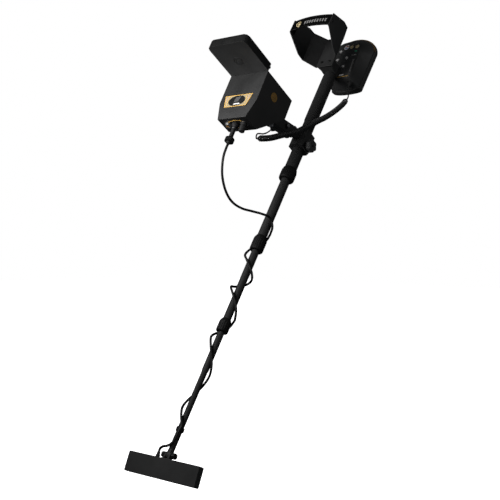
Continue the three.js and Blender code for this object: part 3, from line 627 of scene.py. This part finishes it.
# The winding's rows: height, quarter turns from FRONT degrees, and distance from the pole's axis.
WINDING = [
    (-390, 0, 24), (-421, 1, 17), (-448, 2, 21.5), (-500, 3, 20.5), (-530, 4, 14.5), (-556, 5, 18.5),
    (-574, 6, 17), (-592, 7, 21.5), (-628, 8, 15), (-668, 9, 18.4), (-700, 10, 19.4), (-729, 11, 18),
    (-776, 12, 13), (-818, 13, 14), (-864, 14, 13), (-908, 15, 15), (-950, 16, 14),
]
LOOP = [(231, -2, -342), (228.5, -2, -360), (221, -1, -382), (205, 0, -407), (176, 1, -428), (146, 2, -435),
        (110, 4, -428), (75, 8, -412), (42, 13, -397)]
LOOP_SPLITS = (LOOP[3], (88, 6, -418))
TAIL = [(11.6, 8.6, -968), (11.2, 7, -984), (11, 1, -996), (11.6, -8, -1002), (11, -18, -1004.5)]
COIL_ROUTE = [(182, 32, -273.6), (147.7, 34, -243.4), (112.3, 40, -202.9), (81.2, 42, -169.4), (51, 42, -126),
              (20.8, 42, -80.1), (1.7, 44, -50.9), (-22.1, 47, -7.3), (-36, 50, 26.2), (-43.6, 52, 52.7)]
LEAD_FRONT = [(153, 30, -222), (160, 30, -236), (171, 30, -249.5), (182, 30.4, -258), (189.5, 31, -265.5),
              (190, 31.7, -274), (186.4, 32, -277.6), (182, 32, -273.6)]
LEAD_REAR = [(-43.6, 52, 52.7), (-46, 51, 62), (-49, 46, 76), (-49, 39, 88), (-49, 36, 95), (-49, 36, 102.9)]
# Where the curly lead leaves the case, and which way it points there.
LINK = (-99.8, 30, -75.1)
LINK_OUT = (-0.772, 0, -0.635)


def in_pole(where, x, y, z):
    """A point of another part's frame in the pole's frame."""
    return POLE.inverted() @ where @ Vector((x, y, z))


def winding(first, last):
    """The head cable's points at the winding's rows from first up to last, and halfway between them."""
    def place(z, quarters, r):
        a = math.radians(FRONT + 90 * quarters)
        return Vector((r * math.cos(a), r * math.sin(a), z))
    rows = WINDING[first:last]
    points = [place(*rows[0])]
    for a, b in zip(rows, rows[1:]):
        points += [place(*[(u + v) / 2 for u, v in zip(a, b)]), place(*b)]
    return points


def split(line, *places):
    """Cuts a line at the points nearest to the places."""
    cuts = [min(range(len(line)), key=lambda i: (line[i] - Vector(p)).length) for p in places]
    return [line[a:b + 1] for a, b in zip([0, *cuts], [*cuts, len(line) - 1])]


def run(name, line, thick, bodies, nodes):
    """One stretch of cord: a tube that rides on a body, or, given two bodies, rides on neither and is baked
    where it lies.
    """
    body = bodies if isinstance(bodies, str) else None
    look = LOOKS["coil" if name.startswith("curly") else "cable"]
    obj = piece(name, body, tube(line, thick / 2, 10), look, stands_for=nodes)
    if not body:
        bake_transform(obj)


def cords():
    """The head cable and the curly lead, split where the body they follow changes."""
    plug_end = in_pole(CASE, -24, -2, -194.4)
    loop = spline([plug_end, *LOOP, *winding(0, 2)], 4)
    top, low, near = split(loop, *LOOP_SPLITS)
    # The first stretch runs square to the box's motion.
    run("cable_loop_top", top, CABLE, ("display", "arm"), ["cable_loop"])
    run("cable_loop_low", low, CABLE, ("arm", "upper"), ["cable_loop"])
    run("cable_loop_near", near, CABLE, ("upper", "section_2"), ["cable_loop"])
    run("cable_winding_2", spline(winding(1, 10), 4), CABLE, ("section_2", "section_3"),
        ["cable_wrap_2"])
    run("cable_winding_3", spline(winding(9, 17), 4), CABLE, ("section_3", "section_4"),
        ["cable_wrap_3"])
    gland = in_pole(HEAD, 8, -25, 3.4)
    tail = spline([*winding(16, 17), *TAIL, in_pole(HEAD, 8, -25, 9), gland], 3)
    run("cable_to_head", tail, CABLE, ("section_4", "head"), ["cable_tail"])
    helix = coiled(spline(COIL_ROUTE, 3), (COIL - LEAD) / 2, COIL_PITCH)
    front, rear = split(helix, COIL_ROUTE[2])
    run("curly_cord_front", front, LEAD, ("display", "arm"), ["curly_cord"])
    run("curly_cord_rear", rear, LEAD, ("arm", "upper"), ["curly_cord"])
    out = Vector(LINK_OUT)
    start = [in_pole(CASE, LINK[0] + out.x * far, LINK[1], LINK[2] + out.z * far) for far in (11.5, 15)]
    run("curly_lead_out", spline([*start, *LEAD_FRONT], 3), LEAD, "display", ["curly_lead_front"])
    run("curly_lead_in", spline(LEAD_REAR, 3), LEAD, "upper", ["curly_lead_rear"])


# ---- CAD nodes that keep their shape

# For each finish, its nodes and how many millimetres their edges are rounded by.
FINISHES = {
    "tube": (("upper_tube", 0.4), ("tube_2", 0), ("tube_3", 0), ("tube_4", 0)),
    "foam": (("grip_sleeve", 0),),
    "lock": (("pole_end_cap", 0), ("stem_collar", 0.2)),
    "head": (("head_base", 0.7), ("head_cover", 0.7)),
    "knob": (("hinge_knob_left", 0.4), ("hinge_knob_right", 0.4), ("arm_knob", 0.5)),
    "mount": (("arm_left", 0.6), ("arm_right", 0.6), ("clamp_front", 0.8), ("clamp_rear", 0.8),
              ("ball_plate", 0), ("cuff_bracket", 0.6), ("unit_bracket", 0.6), ("rod_end", 0)),
    "case": (("display_case", 0.7),),
    "lid": (("visor", 0.5),),
    "bezel": (("display_bezel", 0.4),),
    "cuff": (("cuff", 0.4),),
    "film": (("keypad_panel", 0.1),),
    "rubber": (("head_gland", 0.3), ("cord_boot", 0.3), ("socket_cap", 0.4)),
    "steel": (("socket_right", 0.2), ("side_connector", 0.2), ("hinge_bolt", 0), ("visor_pin", 0)),
    "cream": (("label_plate", 0.1),),
    "key": (("key_1", 0.3), ("key_2", 0.3), ("key_3", 0.3), ("key_4", 0.3)),
    "board": (("head_board", 0), ("display_board", 0)),
    "copper": (("head_coil", 0.4),),
    "screen": (("display_screen", 0.1),),
    "battery": (("unit_battery", 0.8),),
    "glass": (("display_glass", 0.1),),
}


def dress_all():
    """Gives every node that no piece replaces its finish."""
    for look, nodes in FINISHES.items():
        for name, width in nodes:
            dress(name, LOOKS[look], width)


# ---- Small parts

def screw(name, body, where, radius, look="dark_steel"):
    """A low domed screw head with a cross slot, standing on z = 0 of its place."""
    head = lathe([(0, 0), (radius, 0), (radius, radius * 0.25), (radius * 0.8, radius * 0.5),
                  (0, radius * 0.6)], 24)
    piece(name, body, head, LOOKS[look], where)
    bar = radius * 0.14
    slots = [plate([(-a, -b), (a, -b), (a, b), (-a, b)], radius * 0.5, radius * 0.66, "z")
             for a, b in ((radius * 0.6, bar), (bar, radius * 0.6))]
    piece(name + "_slot", body, joined(*slots), LOOKS["ink"], where, merge=1e-9)


# Each lock nut's low and high end, its radius, and those of the tubes above and below it.
NUTS = ((-258, -222, 20.5, 16.4, 12.35), (-479, -436, 17.4, 12.35, 9.7), (-709, -674, 15, 9.7, 8.2))
FLUTE_DEPTH = 0.9


def fluted(low, high, flutes):
    """What a nut's grip flutes take off its radius, deepest at the middle of its height."""
    def ripple(a, z):
        along = (z - low - 3) / (high - low - 10)
        depth = max(0.0, math.sin(math.pi * min(1, max(0, along)))) ** 0.5
        return -FLUTE_DEPTH * depth * max(0.0, math.cos(a * flutes)) ** 3
    return ripple


def lock_nuts():
    """Twist nuts with grip flutes round their widest part."""
    for i, (low, high, radius, above, below) in enumerate(NUTS, 1):
        flutes = round(radius * 1.1)
        top = above + 1.6
        outer = [(radius - 3, low), (radius - 1.5, low + 0.6), (radius - 0.5, low + 2.4), (radius, low + 5)]
        outer += [(radius, low + 5 + (high - low - 16) * t) for t in (0.25, 0.5, 0.75, 1)]
        outer += [(radius - 0.5, high - 8), (radius - 1.5, high - 5), (top + 0.6, high - 2),
                  (top, high - 0.5), (top - 0.5, high)]
        bore = [(above + 0.3, high), (above + 0.3, high - 6), (below + 0.4, high - 7), (below + 0.4, low)]
        skin = lathe(outer, 8 * flutes, fluted(low, high, flutes))
        inner = lathe([outer[-1], *bore, outer[0]], 8 * flutes)
        piece(f"lock_nut_{i}_fluted", f"lock_{i}", joined(skin, inner), LOOKS["lock"],
              stands_for=[f"lock_nut_{i}"], smooth=50)
        mark = washer(top - 0.3, top + 0.12, high - 3.2, high - 2.2, 48)
        piece(f"lock_nut_{i}_ring", f"lock_{i}", mark, LOOKS["knob"])


LOBES = 6
LOBE_RADIUS = 17.4
LOBE_DEPTH = 2.6


def lobed(height, by):
    """A ring round the clamp knob's lobes, drawn in by so many millimetres."""
    count = 96
    points = []
    for i in range(count):
        a = 2 * math.pi * i / count
        r = LOBE_RADIUS - LOBE_DEPTH * (0.5 - 0.5 * math.cos(LOBES * a)) - by
        points.append(Vector((r * math.cos(a), r * math.sin(a), height)))
    return points


def clamp_knob():
    """The clamp's big lobed knob with a dished face, on its stem and stud."""
    levels = ((30, 8), (30, 1.6), (30.4, 0.6), (31.4, 0), (40.8, 0), (42, 0.5), (42.8, 1.7), (43, 3.2),
              (42.9, 6), (41.6, 7.4), (41.4, 12))
    where = POLE @ at(0, 0, -147) @ ALONG_Y
    head = lofted([lobed(*level) for level in levels])
    stem = lathe([(0, 17.2), (3.9, 17.2), (3.9, 24), (7.6, 24), (7.9, 24.4), (7.9, 30.2), (0, 30.2)], 32)
    piece("clamp_knob_head", "clamp_screw", joined(head, stem), LOOKS["big_knob"], where, ["clamp_knob"])
    cap = lathe([(0, 41.3), (3.4, 41.3), (3.4, 42), (2.8, 42.5), (0, 42.5)], 24)
    piece("clamp_knob_cap", "clamp_screw", cap, LOOKS["knob"], where)


def plug():
    """The head cable's plug: collar, thin sleeve, knurled ring nut and ribbed strain relief."""
    where = CASE @ at(-24, -2, -135.8)
    body = [(0, 9), (7, 9), (7, 0), (9.2, 0), (9.6, -0.4), (9.6, -4.4), (9, -5), (5.8, -8), (5.6, -9)]
    body += [(5.6 if k % 2 else 5.2, -9 - 1.5 * k) for k in range(1, 20)]
    body += [(5.6, -39), (5.6, -54), (4.8, -55.2), (5, -55.8), (4.2, -56.4), (4.4, -57), (3.6, -57.6),
             (3.4, -58), (0, -58)]
    piece("plug_body", "display", lathe(body, 32), LOOKS["rubber"], where, ["cable_plug"])
    nut = [(5.9, -40.5), (9.4, -40.5), (10.5, -41.2), (11.5, -41.6), (11.5, -44), (11.5, -48), (11.5, -50.9),
           (11.3, -51.3), (9.4, -52), (5.9, -52), (5.9, -40.5)]
    ring = lathe(nut, 180, lambda a, z: 0.45 * math.cos(30 * a) - 0.45 if -51 < z < -41.5 else 0)
    piece("plug_ring_nut", "plug_ring", ring, LOOKS["knob"], where, ["plug_nut"], smooth=60)
    piece("plug_band", "display", washer(5.5, 5.9, -14, -12.6), LOOKS["steel"], where)
    piece("cap_band", "display", washer(7.5, 7.9, -9.5, -8.3), LOOKS["knob"], CASE @ at(-24, 24, -135.8))


def front_oval():
    """The gold oval line printed round the connectors, the sockets' rings and one socket's pins."""
    line = frame_plate(oval(2, -24, 28, 15.5, 64), oval(2, -24, 26.2, 13.8, 64), -135.85, -135.5, "z")
    piece("front_oval", "display", across(line), LOOKS["gold_print"], CASE, merge=1e-9)
    for name, y in (("left", 24), ("right", -25)):
        ring = washer(8.7, 10, 135.5, 136)
        piece("socket_ring_" + name, "display", ring, LOOKS["steel"], CASE @ at(-24, y, 0) @ BACK_Z)
    pin = disc(0.7, -138, -135, 0.1, 12)
    places = [(2.6 * math.cos(math.radians(a)), 2.6 * math.sin(math.radians(a))) for a in range(0, 360, 72)]
    pins = joined(*[moved(pin, at(u, v, -4.1)) for u, v in places])
    piece("socket_pins", "display", pins, LOOKS["gold"], CASE @ at(-24, -25, 0))


def label():
    """Plain shapes printed on the case's cream label, and the round badge on its side."""
    outer = [(-45, -66), (39, -66), (30.5, -100.5), (-36.5, -100.5)]
    inner = [(-42.6, -67.8), (36.8, -67.8), (29, -98.7), (-35, -98.7)]
    border = frame_plate(outer, inner, 1.0, 1.25)
    piece("label_border", "display", border, LOOKS["gold_print"], CASE, merge=1e-9)
    piece("label_oval", "display", plate(oval(-4, -83.3, 25.5, 15.6, 48), 1.0, 1.3), LOOKS["ink"], CASE)
    core = [(-10, -74), (6, -70), (2, -86), (-12, -89)]
    piece("label_core", "display", plate(core, 1.2, 1.42), LOOKS["core"], CASE)
    bar = plate(oblong(-1, -93.2, 20, 3.4, 1.6), 1.2, 1.42)
    piece("label_bar", "display", bar, LOOKS["white"], CASE)
    arcs = [plate(arc_band(-4, -83.3, 28.5, 1.8, middle - 28, middle + 28), 1.0, 1.25) for middle in (0, 180)]
    piece("label_arcs", "display", joined(*arcs), LOOKS["gold_print"], CASE)
    lines = [plate(oblong(side * 34 - 4, -71 - 3 * k, 5, 0.8, 0.39), 1.0, 1.22)
             for side in (-1, 1) for k in range(5)]
    piece("label_lines", "display", joined(*lines), LOOKS["rose"], CASE)
    side = CASE @ at(-51.6, 57.5, -39.7) @ ALONG_Y
    piece("badge_ring", "display", washer(9.2, 11.8, -0.1, 0.5), LOOKS["gold"], side)
    piece("badge_field", "display", disc(9.3, -0.1, 0.3, 0.1), LOOKS["bronze"], side)
    piece("badge_inner", "display", washer(4.6, 6.2, 0.2, 0.5), LOOKS["gold"], side)
    piece("badge_centre", "display", disc(2.2, 0.2, 0.5, 0.1), LOOKS["gold"], side)


def lid():
    """The faint round mark pressed into the visor's outer face, and the rim's inner lining."""
    where = CASE @ at(46.4, -2, 0.3)
    piece("lid_ring", "visor", washer(11, 12.6, -0.35, 0.1), LOOKS["lid_mark"], where)
    piece("lid_ring_inner", "visor", washer(6.5, 7.4, -0.3, 0.1), LOOKS["lid_mark"], where)
    spoke = plate(oblong(9, 0, 3, 1.2, 0.5), -0.3, 0.1, "z")
    spokes = [moved(spoke, Matrix.Rotation(math.radians(a), 4, "Z")) for a in range(20, 380, 60)]
    piece("lid_spokes", "visor", joined(*spokes), LOOKS["lid_mark"], where)
    lining = across(plate(oblong(0, 52, 104, 96, 8), 2.4, 2.9, "z"))
    piece("lid_lining", "visor", lining, LOOKS["foam"], CASE)


def display_screen():
    """The faint segment marks on the dark panel under the cover glass."""
    bars = [plate(oblong(-60 + 6 * k, 0, 3.4, 60 - 2 * abs(k), 1), -6.3, -6.12, "z") for k in range(-6, 7)]
    piece("screen_bars", "display", joined(*bars), LOOKS["lcd"], CASE, merge=1e-9)


# The strap's middle up the pole, its height at the sides, how far it rises in the middle, and how
# far its upper surface lies from that line and reaches to each side.
CUFF_Z = 161
STRAP_SIDE = 149.4
STRAP_RISE = 6
STRAP_LIFT = -0.7
STRAP_HALF = 58.8


def strap():
    """The cuff's strap: a woven band that arches over the top, with its ends down inside the wings."""
    low, high = CUFF_Z - 19, CUFF_Z + 19

    def arch(lift, half, count):
        steps = [-1 + 2 * i / count for i in range(count + 1)]
        return [(half * t, STRAP_SIDE + lift + STRAP_RISE * (1 - t ** 2)) for t in steps]

    top = arch(STRAP_LIFT, STRAP_HALF, 48)
    under = arch(-2.3, 57.4, 48)[::-1]
    line = [(-59, 134), (-59, 147.6), *top, (59, 147.6), (59, 134), (57.4, 134), *under, (-57.4, 134)]
    band = across(plate(line, low, high, "z"))
    piece("strap_band", "upper", band, LOOKS["web"], stands_for=["strap"], smooth=30)


def strap_top(y):
    """The height of the strap's upper surface over the cuff, so far from the middle."""
    return STRAP_SIDE + STRAP_LIFT + STRAP_RISE * (1 - (y / STRAP_HALF) ** 2)


def strap_marks():
    """The strap's plain bars, round mark, stitches and rivets, and the screws in the cuff."""
    bars = []
    for y in range(-17, 53, 8):
        n = strap_top(y)
        bars.append(plate(oblong(y, 160, 4.6, 11, 0.8), n - 0.6, n + 0.35))
    piece("strap_bars", "upper", joined(*bars), LOOKS["printed_grey"], merge=1e-9)
    where = POLE @ at(strap_top(-35) - 0.1, -35, 158) @ Matrix.Rotation(math.radians(6), 4, "Z") @ ALONG_X
    piece("strap_ring", "upper", washer(7.6, 9.8, 0, 0.7), LOOKS["gold_pale"], where)
    piece("strap_ring_core", "upper", disc(4.6, 0, 0.6, 0.2), LOOKS["gold_pale"], where)
    dashes = []
    for z in (CUFF_Z - 16.6, CUFF_Z + 16.6):
        for k in range(-19, 20):
            n = strap_top(k * 3)
            dashes.append(plate(oblong(k * 3, z, 1.9, 0.5, 0.2), n - 0.3, n + 0.22))
    for side in (-1, 1):
        for n in (135, 145):
            for k in range(-5, 6):
                dash = plate(oblong(n, CUFF_Z + 3 * k, 0.5, 1.9, 0.2), side * 57.2, side * 57.5, "y")
                dashes.append(dash)
    piece("strap_stitches", "upper", joined(*dashes), LOOKS["thread"], merge=1e-9)
    for name, side, turn in (("left", 1, ALONG_Y), ("right", -1, BACK_Y)):
        screw("strap_rivet_" + name, "upper", POLE @ at(142, side * 62.7, CUFF_Z) @ turn, 4)
    for name, y in (("left", 12), ("right", -12)):
        screw("cuff_screw_" + name, "upper", POLE @ at(38.1, y, 124) @ ALONG_X, 4)


# ---- Control unit

# The unit's outline above and below: half its width, the height of its shoulder, and its dome.
ABOVE = (72, 46, 54)
BELOW = (48, -66, 10)
# The keypad's outline as (y, z) of the pole's frame.
FACE = [(0, 119), (38, 119), (44, 122), (46, 130), (42, 238), (36, 253), (22, 262), (0, 265.5), (-22, 262),
        (-36, 253), (-42, 238), (-46, 130), (-44, 122), (-38, 119)]
# The number of points in each ring of the keypad's shell.
RING = 96


def shield(by):
    """The unit's outline as (y, z), wide above and narrow below, drawn in by so many millimetres."""
    points = []
    half, middle, dome = ABOVE
    for i in range(49):
        a = math.radians(90 - 90 * math.cos(i / 48 * math.pi))
        points.append(((half - by) * math.cos(a), middle + (dome - by) * math.sin(a)))
    half, middle, dome = BELOW
    for i in range(25):
        a = math.radians(180 + 180 * i / 24)
        points.append(((half - by) * math.cos(a), middle + (dome - by * 0.9) * math.sin(a)))
    return points


def resampled(outline, count):
    """The closed outline as so many evenly spaced points, from its first point on."""
    ring = [Vector(p) for p in outline] + [Vector(outline[0])]
    spans = [(b - a).length for a, b in zip(ring, ring[1:])]
    total, out, i, passed = sum(spans), [], 0, 0.0
    for k in range(count):
        goal = total * k / count
        while passed + spans[i] < goal:
            passed += spans[i]
            i += 1
        out.append(ring[i].lerp(ring[i + 1], (goal - passed) / max(spans[i], 1e-9)))
    return out


def rounded(outline):
    """The outline with its corners cut twice."""
    for _ in range(2):
        following = outline[1:] + outline[:1]
        outline = [p for a, b in zip(outline, following) for p in (a.lerp(b, 0.25), a.lerp(b, 0.75))]
    return outline


def shrunk(outline, by):
    """The outline with each point moved in towards the middle."""
    middle = sum(outline, Vector((0, 0))) / len(outline)
    return [p + (middle - p).normalized() * by for p in outline]


def lofted(rings, capped=True):
    """A skin over rings with equal numbers of points; capped closes its two ends."""
    n = len(rings[0])
    points = [Vector(p) for ring in rings for p in ring]
    faces = [(i * n + k, i * n + (k + 1) % n, (i + 1) * n + (k + 1) % n, (i + 1) * n + k)
             for i in range(len(rings) - 1) for k in range(n)]
    if capped:
        faces += [tuple(range(n)), tuple(range((len(rings) - 1) * n, len(rings) * n))]
    return points, faces


def unit_rings(profile):
    """The unit's outline at each x of a profile, drawn in by its second number."""
    return [[Vector((x, y, z)) for y, z in shield(by)] for x, by in profile]


def face_ring(by, n):
    """The keypad's outline on its face at n, drawn in by so many millimetres."""
    outline = shrunk(rounded(resampled(FACE, 48)), by)
    return [Vector((n, y, z)) for y, z in resampled(outline, RING)]


def rim_ring(by, x):
    """A line inside the unit's rim at x of the tilted unit, starting at the middle of its low end."""
    outline = resampled(shield(4 + by), 400)
    first = min(range(400), key=lambda i: abs(outline[i].x) + (0 if outline[i].y < -60 else 1000))
    outline = resampled(outline[first:] + outline[:first], RING)
    return [in_pole(UNIT, x, y, z) for y, z in outline]


def unit():
    """The unit's two shells with the seal between them, its trim, the keypad's shell, screws and feet."""
    cover = [(-12, 0), (-5.2, 0), (-4.2, 0.3), (-3, 1.1), (-1.6, 2.1), (-0.7, 3), (-0.15, 3.9), (0, 5),
             (0, 20), (-2.6, 20), (-2.6, 5.4), (-3.6, 4.6), (-12, 4.4), (-12, 0)]
    piece("unit_front_shell", "upper", lofted(unit_rings(cover), False), LOOKS["unit"], UNIT, ["unit_cover"])
    back = [(-21.4, 9), (-12.3, 8.4), (-12.3, 0), (-14.5, 0), (-16.6, 0.6), (-18.6, 2), (-20.4, 3.6),
            (-21.8, 5.4), (-23, 7.4), (-23.8, 9.6), (-24, 12)]
    piece("unit_back_shell", "upper", lofted(unit_rings(back)), LOOKS["unit"], UNIT, ["unit_back"])
    seam = [(-12.3, 0.9), (-12, 0.9), (-12, 4), (-12.3, 4), (-12.3, 0.9)]
    piece("unit_seal", "upper", lofted(unit_rings(seam), False), LOOKS["rubber"], UNIT)
    for name, x, by in (("outer", -2.6, 1.3), ("inner", -0.4, 3.3)):
        arc = [Vector((x, y, z)) for y, z in shield(by)[4:45]]
        piece("unit_trim_" + name, "upper", tube(arc, 0.6, 8), LOOKS["bronze"], UNIT)
    case = [face_ring(5, -25.5), face_ring(1.2, -25.5), face_ring(0.4, -25.8), face_ring(0, -26.6),
            rim_ring(0, 0.3), rim_ring(2.6, 0.3), face_ring(3, -28), face_ring(5, -28), face_ring(5, -25.5)]
    piece("keypad_shell", "upper", lofted(case, False), LOOKS["unit"], stands_for=["keypad_case"])
    for i, (y, z) in enumerate(((46, 50), (-46, 50), (30, -56), (-30, -56)), 1):
        screw(f"unit_screw_{i}", "upper", UNIT @ at(-24, y, z) @ BACK_X, 3.4)
    feet = [moved(disc(5, 0, 1.4, 0.5), at(-24, y, 30) @ BACK_X) for y in (34, -34)]
    piece("unit_pads", "upper", joined(*feet), LOOKS["rubber"], UNIT)


def keypad():
    """Plain marks on the keypad film: discs, bars, an arc and rings round the keys; and its screws."""
    low, high = -24.45, -24.2

    def mark(name, look, *outlines, lift=0.0):
        shape = joined(*[plate(line, low, high + lift) for line in outlines])
        piece("print_" + name, "upper", shape, LOOKS[look], merge=1e-9)

    mark("badge", "white", oval(-5, 241.5, 7.5, 9, 36))
    mark("badge_red", "red", arc_band(-5, 243, 3.4, 3, 10, 170), lift=0.12)
    mark("badge_blue", "blue", arc_band(-5, 240, 3.4, 3, 190, 350), lift=0.12)
    mark("disc_1", "gold_pale", oval(12.2, 239.8, 5.6, 6.8, 32))
    mark("disc_2", "gold_pale", oval(30.5, 238.7, 6, 7, 32))
    mark("green", "green", oblong(32.5, 220.5, 8.5, 5, 2.4))
    mark("arc", "white", arc_band(30, 216, 11, 1.1, 225, 315))
    spots = [oblong(36 + 2.2 * k / 9, 186.9 - 4.9 * k, 5.4 - (k % 3) * 0.9, 3.8 - (k % 2) * 0.9, 0.8)
             for k in range(10)]
    mark("strip", "printed_grey", *spots)
    mark("panel_label", "white", oblong(14.7, 131.8, 15, 6.5, 2.6, 3))
    mark("line", "gold_print", oblong(22, 124.3, 38, 1.7, 0.6, 4))
    rings = [frame_plate(oval(y, z, 6.6, 6.6, 32), oval(y, z, 5.9, 5.9, 32), low, high)
             for y, z in ((-19, 227), (-19, 194.5), (9, 197.5), (9, 165))]
    piece("print_key_rings", "upper", joined(*rings), LOOKS["printed_grey"], merge=1e-9)
    dots = [oval(y, z, 0.9, 0.9, 12)
            for y, z in ((-19, 214), (-19, 181), (9, 184), (9, 152), (-5, 214), (24, 197))]
    mark("dots", "printed_grey", *dots)
    for i, (y, z) in enumerate(((-38, 128), (39, 126), (-35, 244), (35, 248)), 1):
        screw(f"keypad_screw_{i}", "upper", POLE @ at(-24.4, y, z) @ ALONG_X, 1.8)


def fasteners():
    """Screws in the case and the head, bolts in the clamp, the grip's ribs and the arm bolt's cap."""
    for i, (y, z) in enumerate(((46, -9), (-46, -9), (46, -48), (-46, -48)), 1):
        screw(f"case_screw_{i}", "display", CASE @ at(-114.6, y, z) @ BACK_X, 2.6)
    for i, y in enumerate((-92, -46, 46, 92), 1):
        screw(f"head_screw_{i}", "head", HEAD @ at(0, y, -31.5) @ BACK_X, 2.8)
    for i, z in enumerate((-116, -147), 1):
        screw(f"clamp_bolt_{i}", "upper", POLE @ at(-10, -22, z) @ BACK_Y, 3.6)
    ribs = [washer(17.35, 17.62, z, z + 1.2, 64) for z in range(-54, 94, 8)]
    piece("grip_ribs", "upper", joined(*ribs), LOOKS["foam"])
    nut = lathe([(0, 0), (5.2, 0), (5.6, 0.5), (5.6, 2.2), (4.6, 2.9), (0, 2.9)], 6)
    place = POLE @ at(93.25, 20.4, -155.5) @ ALONG_Y
    piece("arm_bolt_cap", "arm_screw", nut, LOOKS["steel"], place, smooth=20)


def details():
    """Everything but the cords."""
    dress_all()
    lock_nuts()
    clamp_knob()
    plug()
    front_oval()
    label()
    lid()
    display_screen()
    strap()
    strap_marks()
    unit()
    keypad()
    fasteners()


LOOKS = make_finishes()
camera()
studio()
floor()
details()
cords()
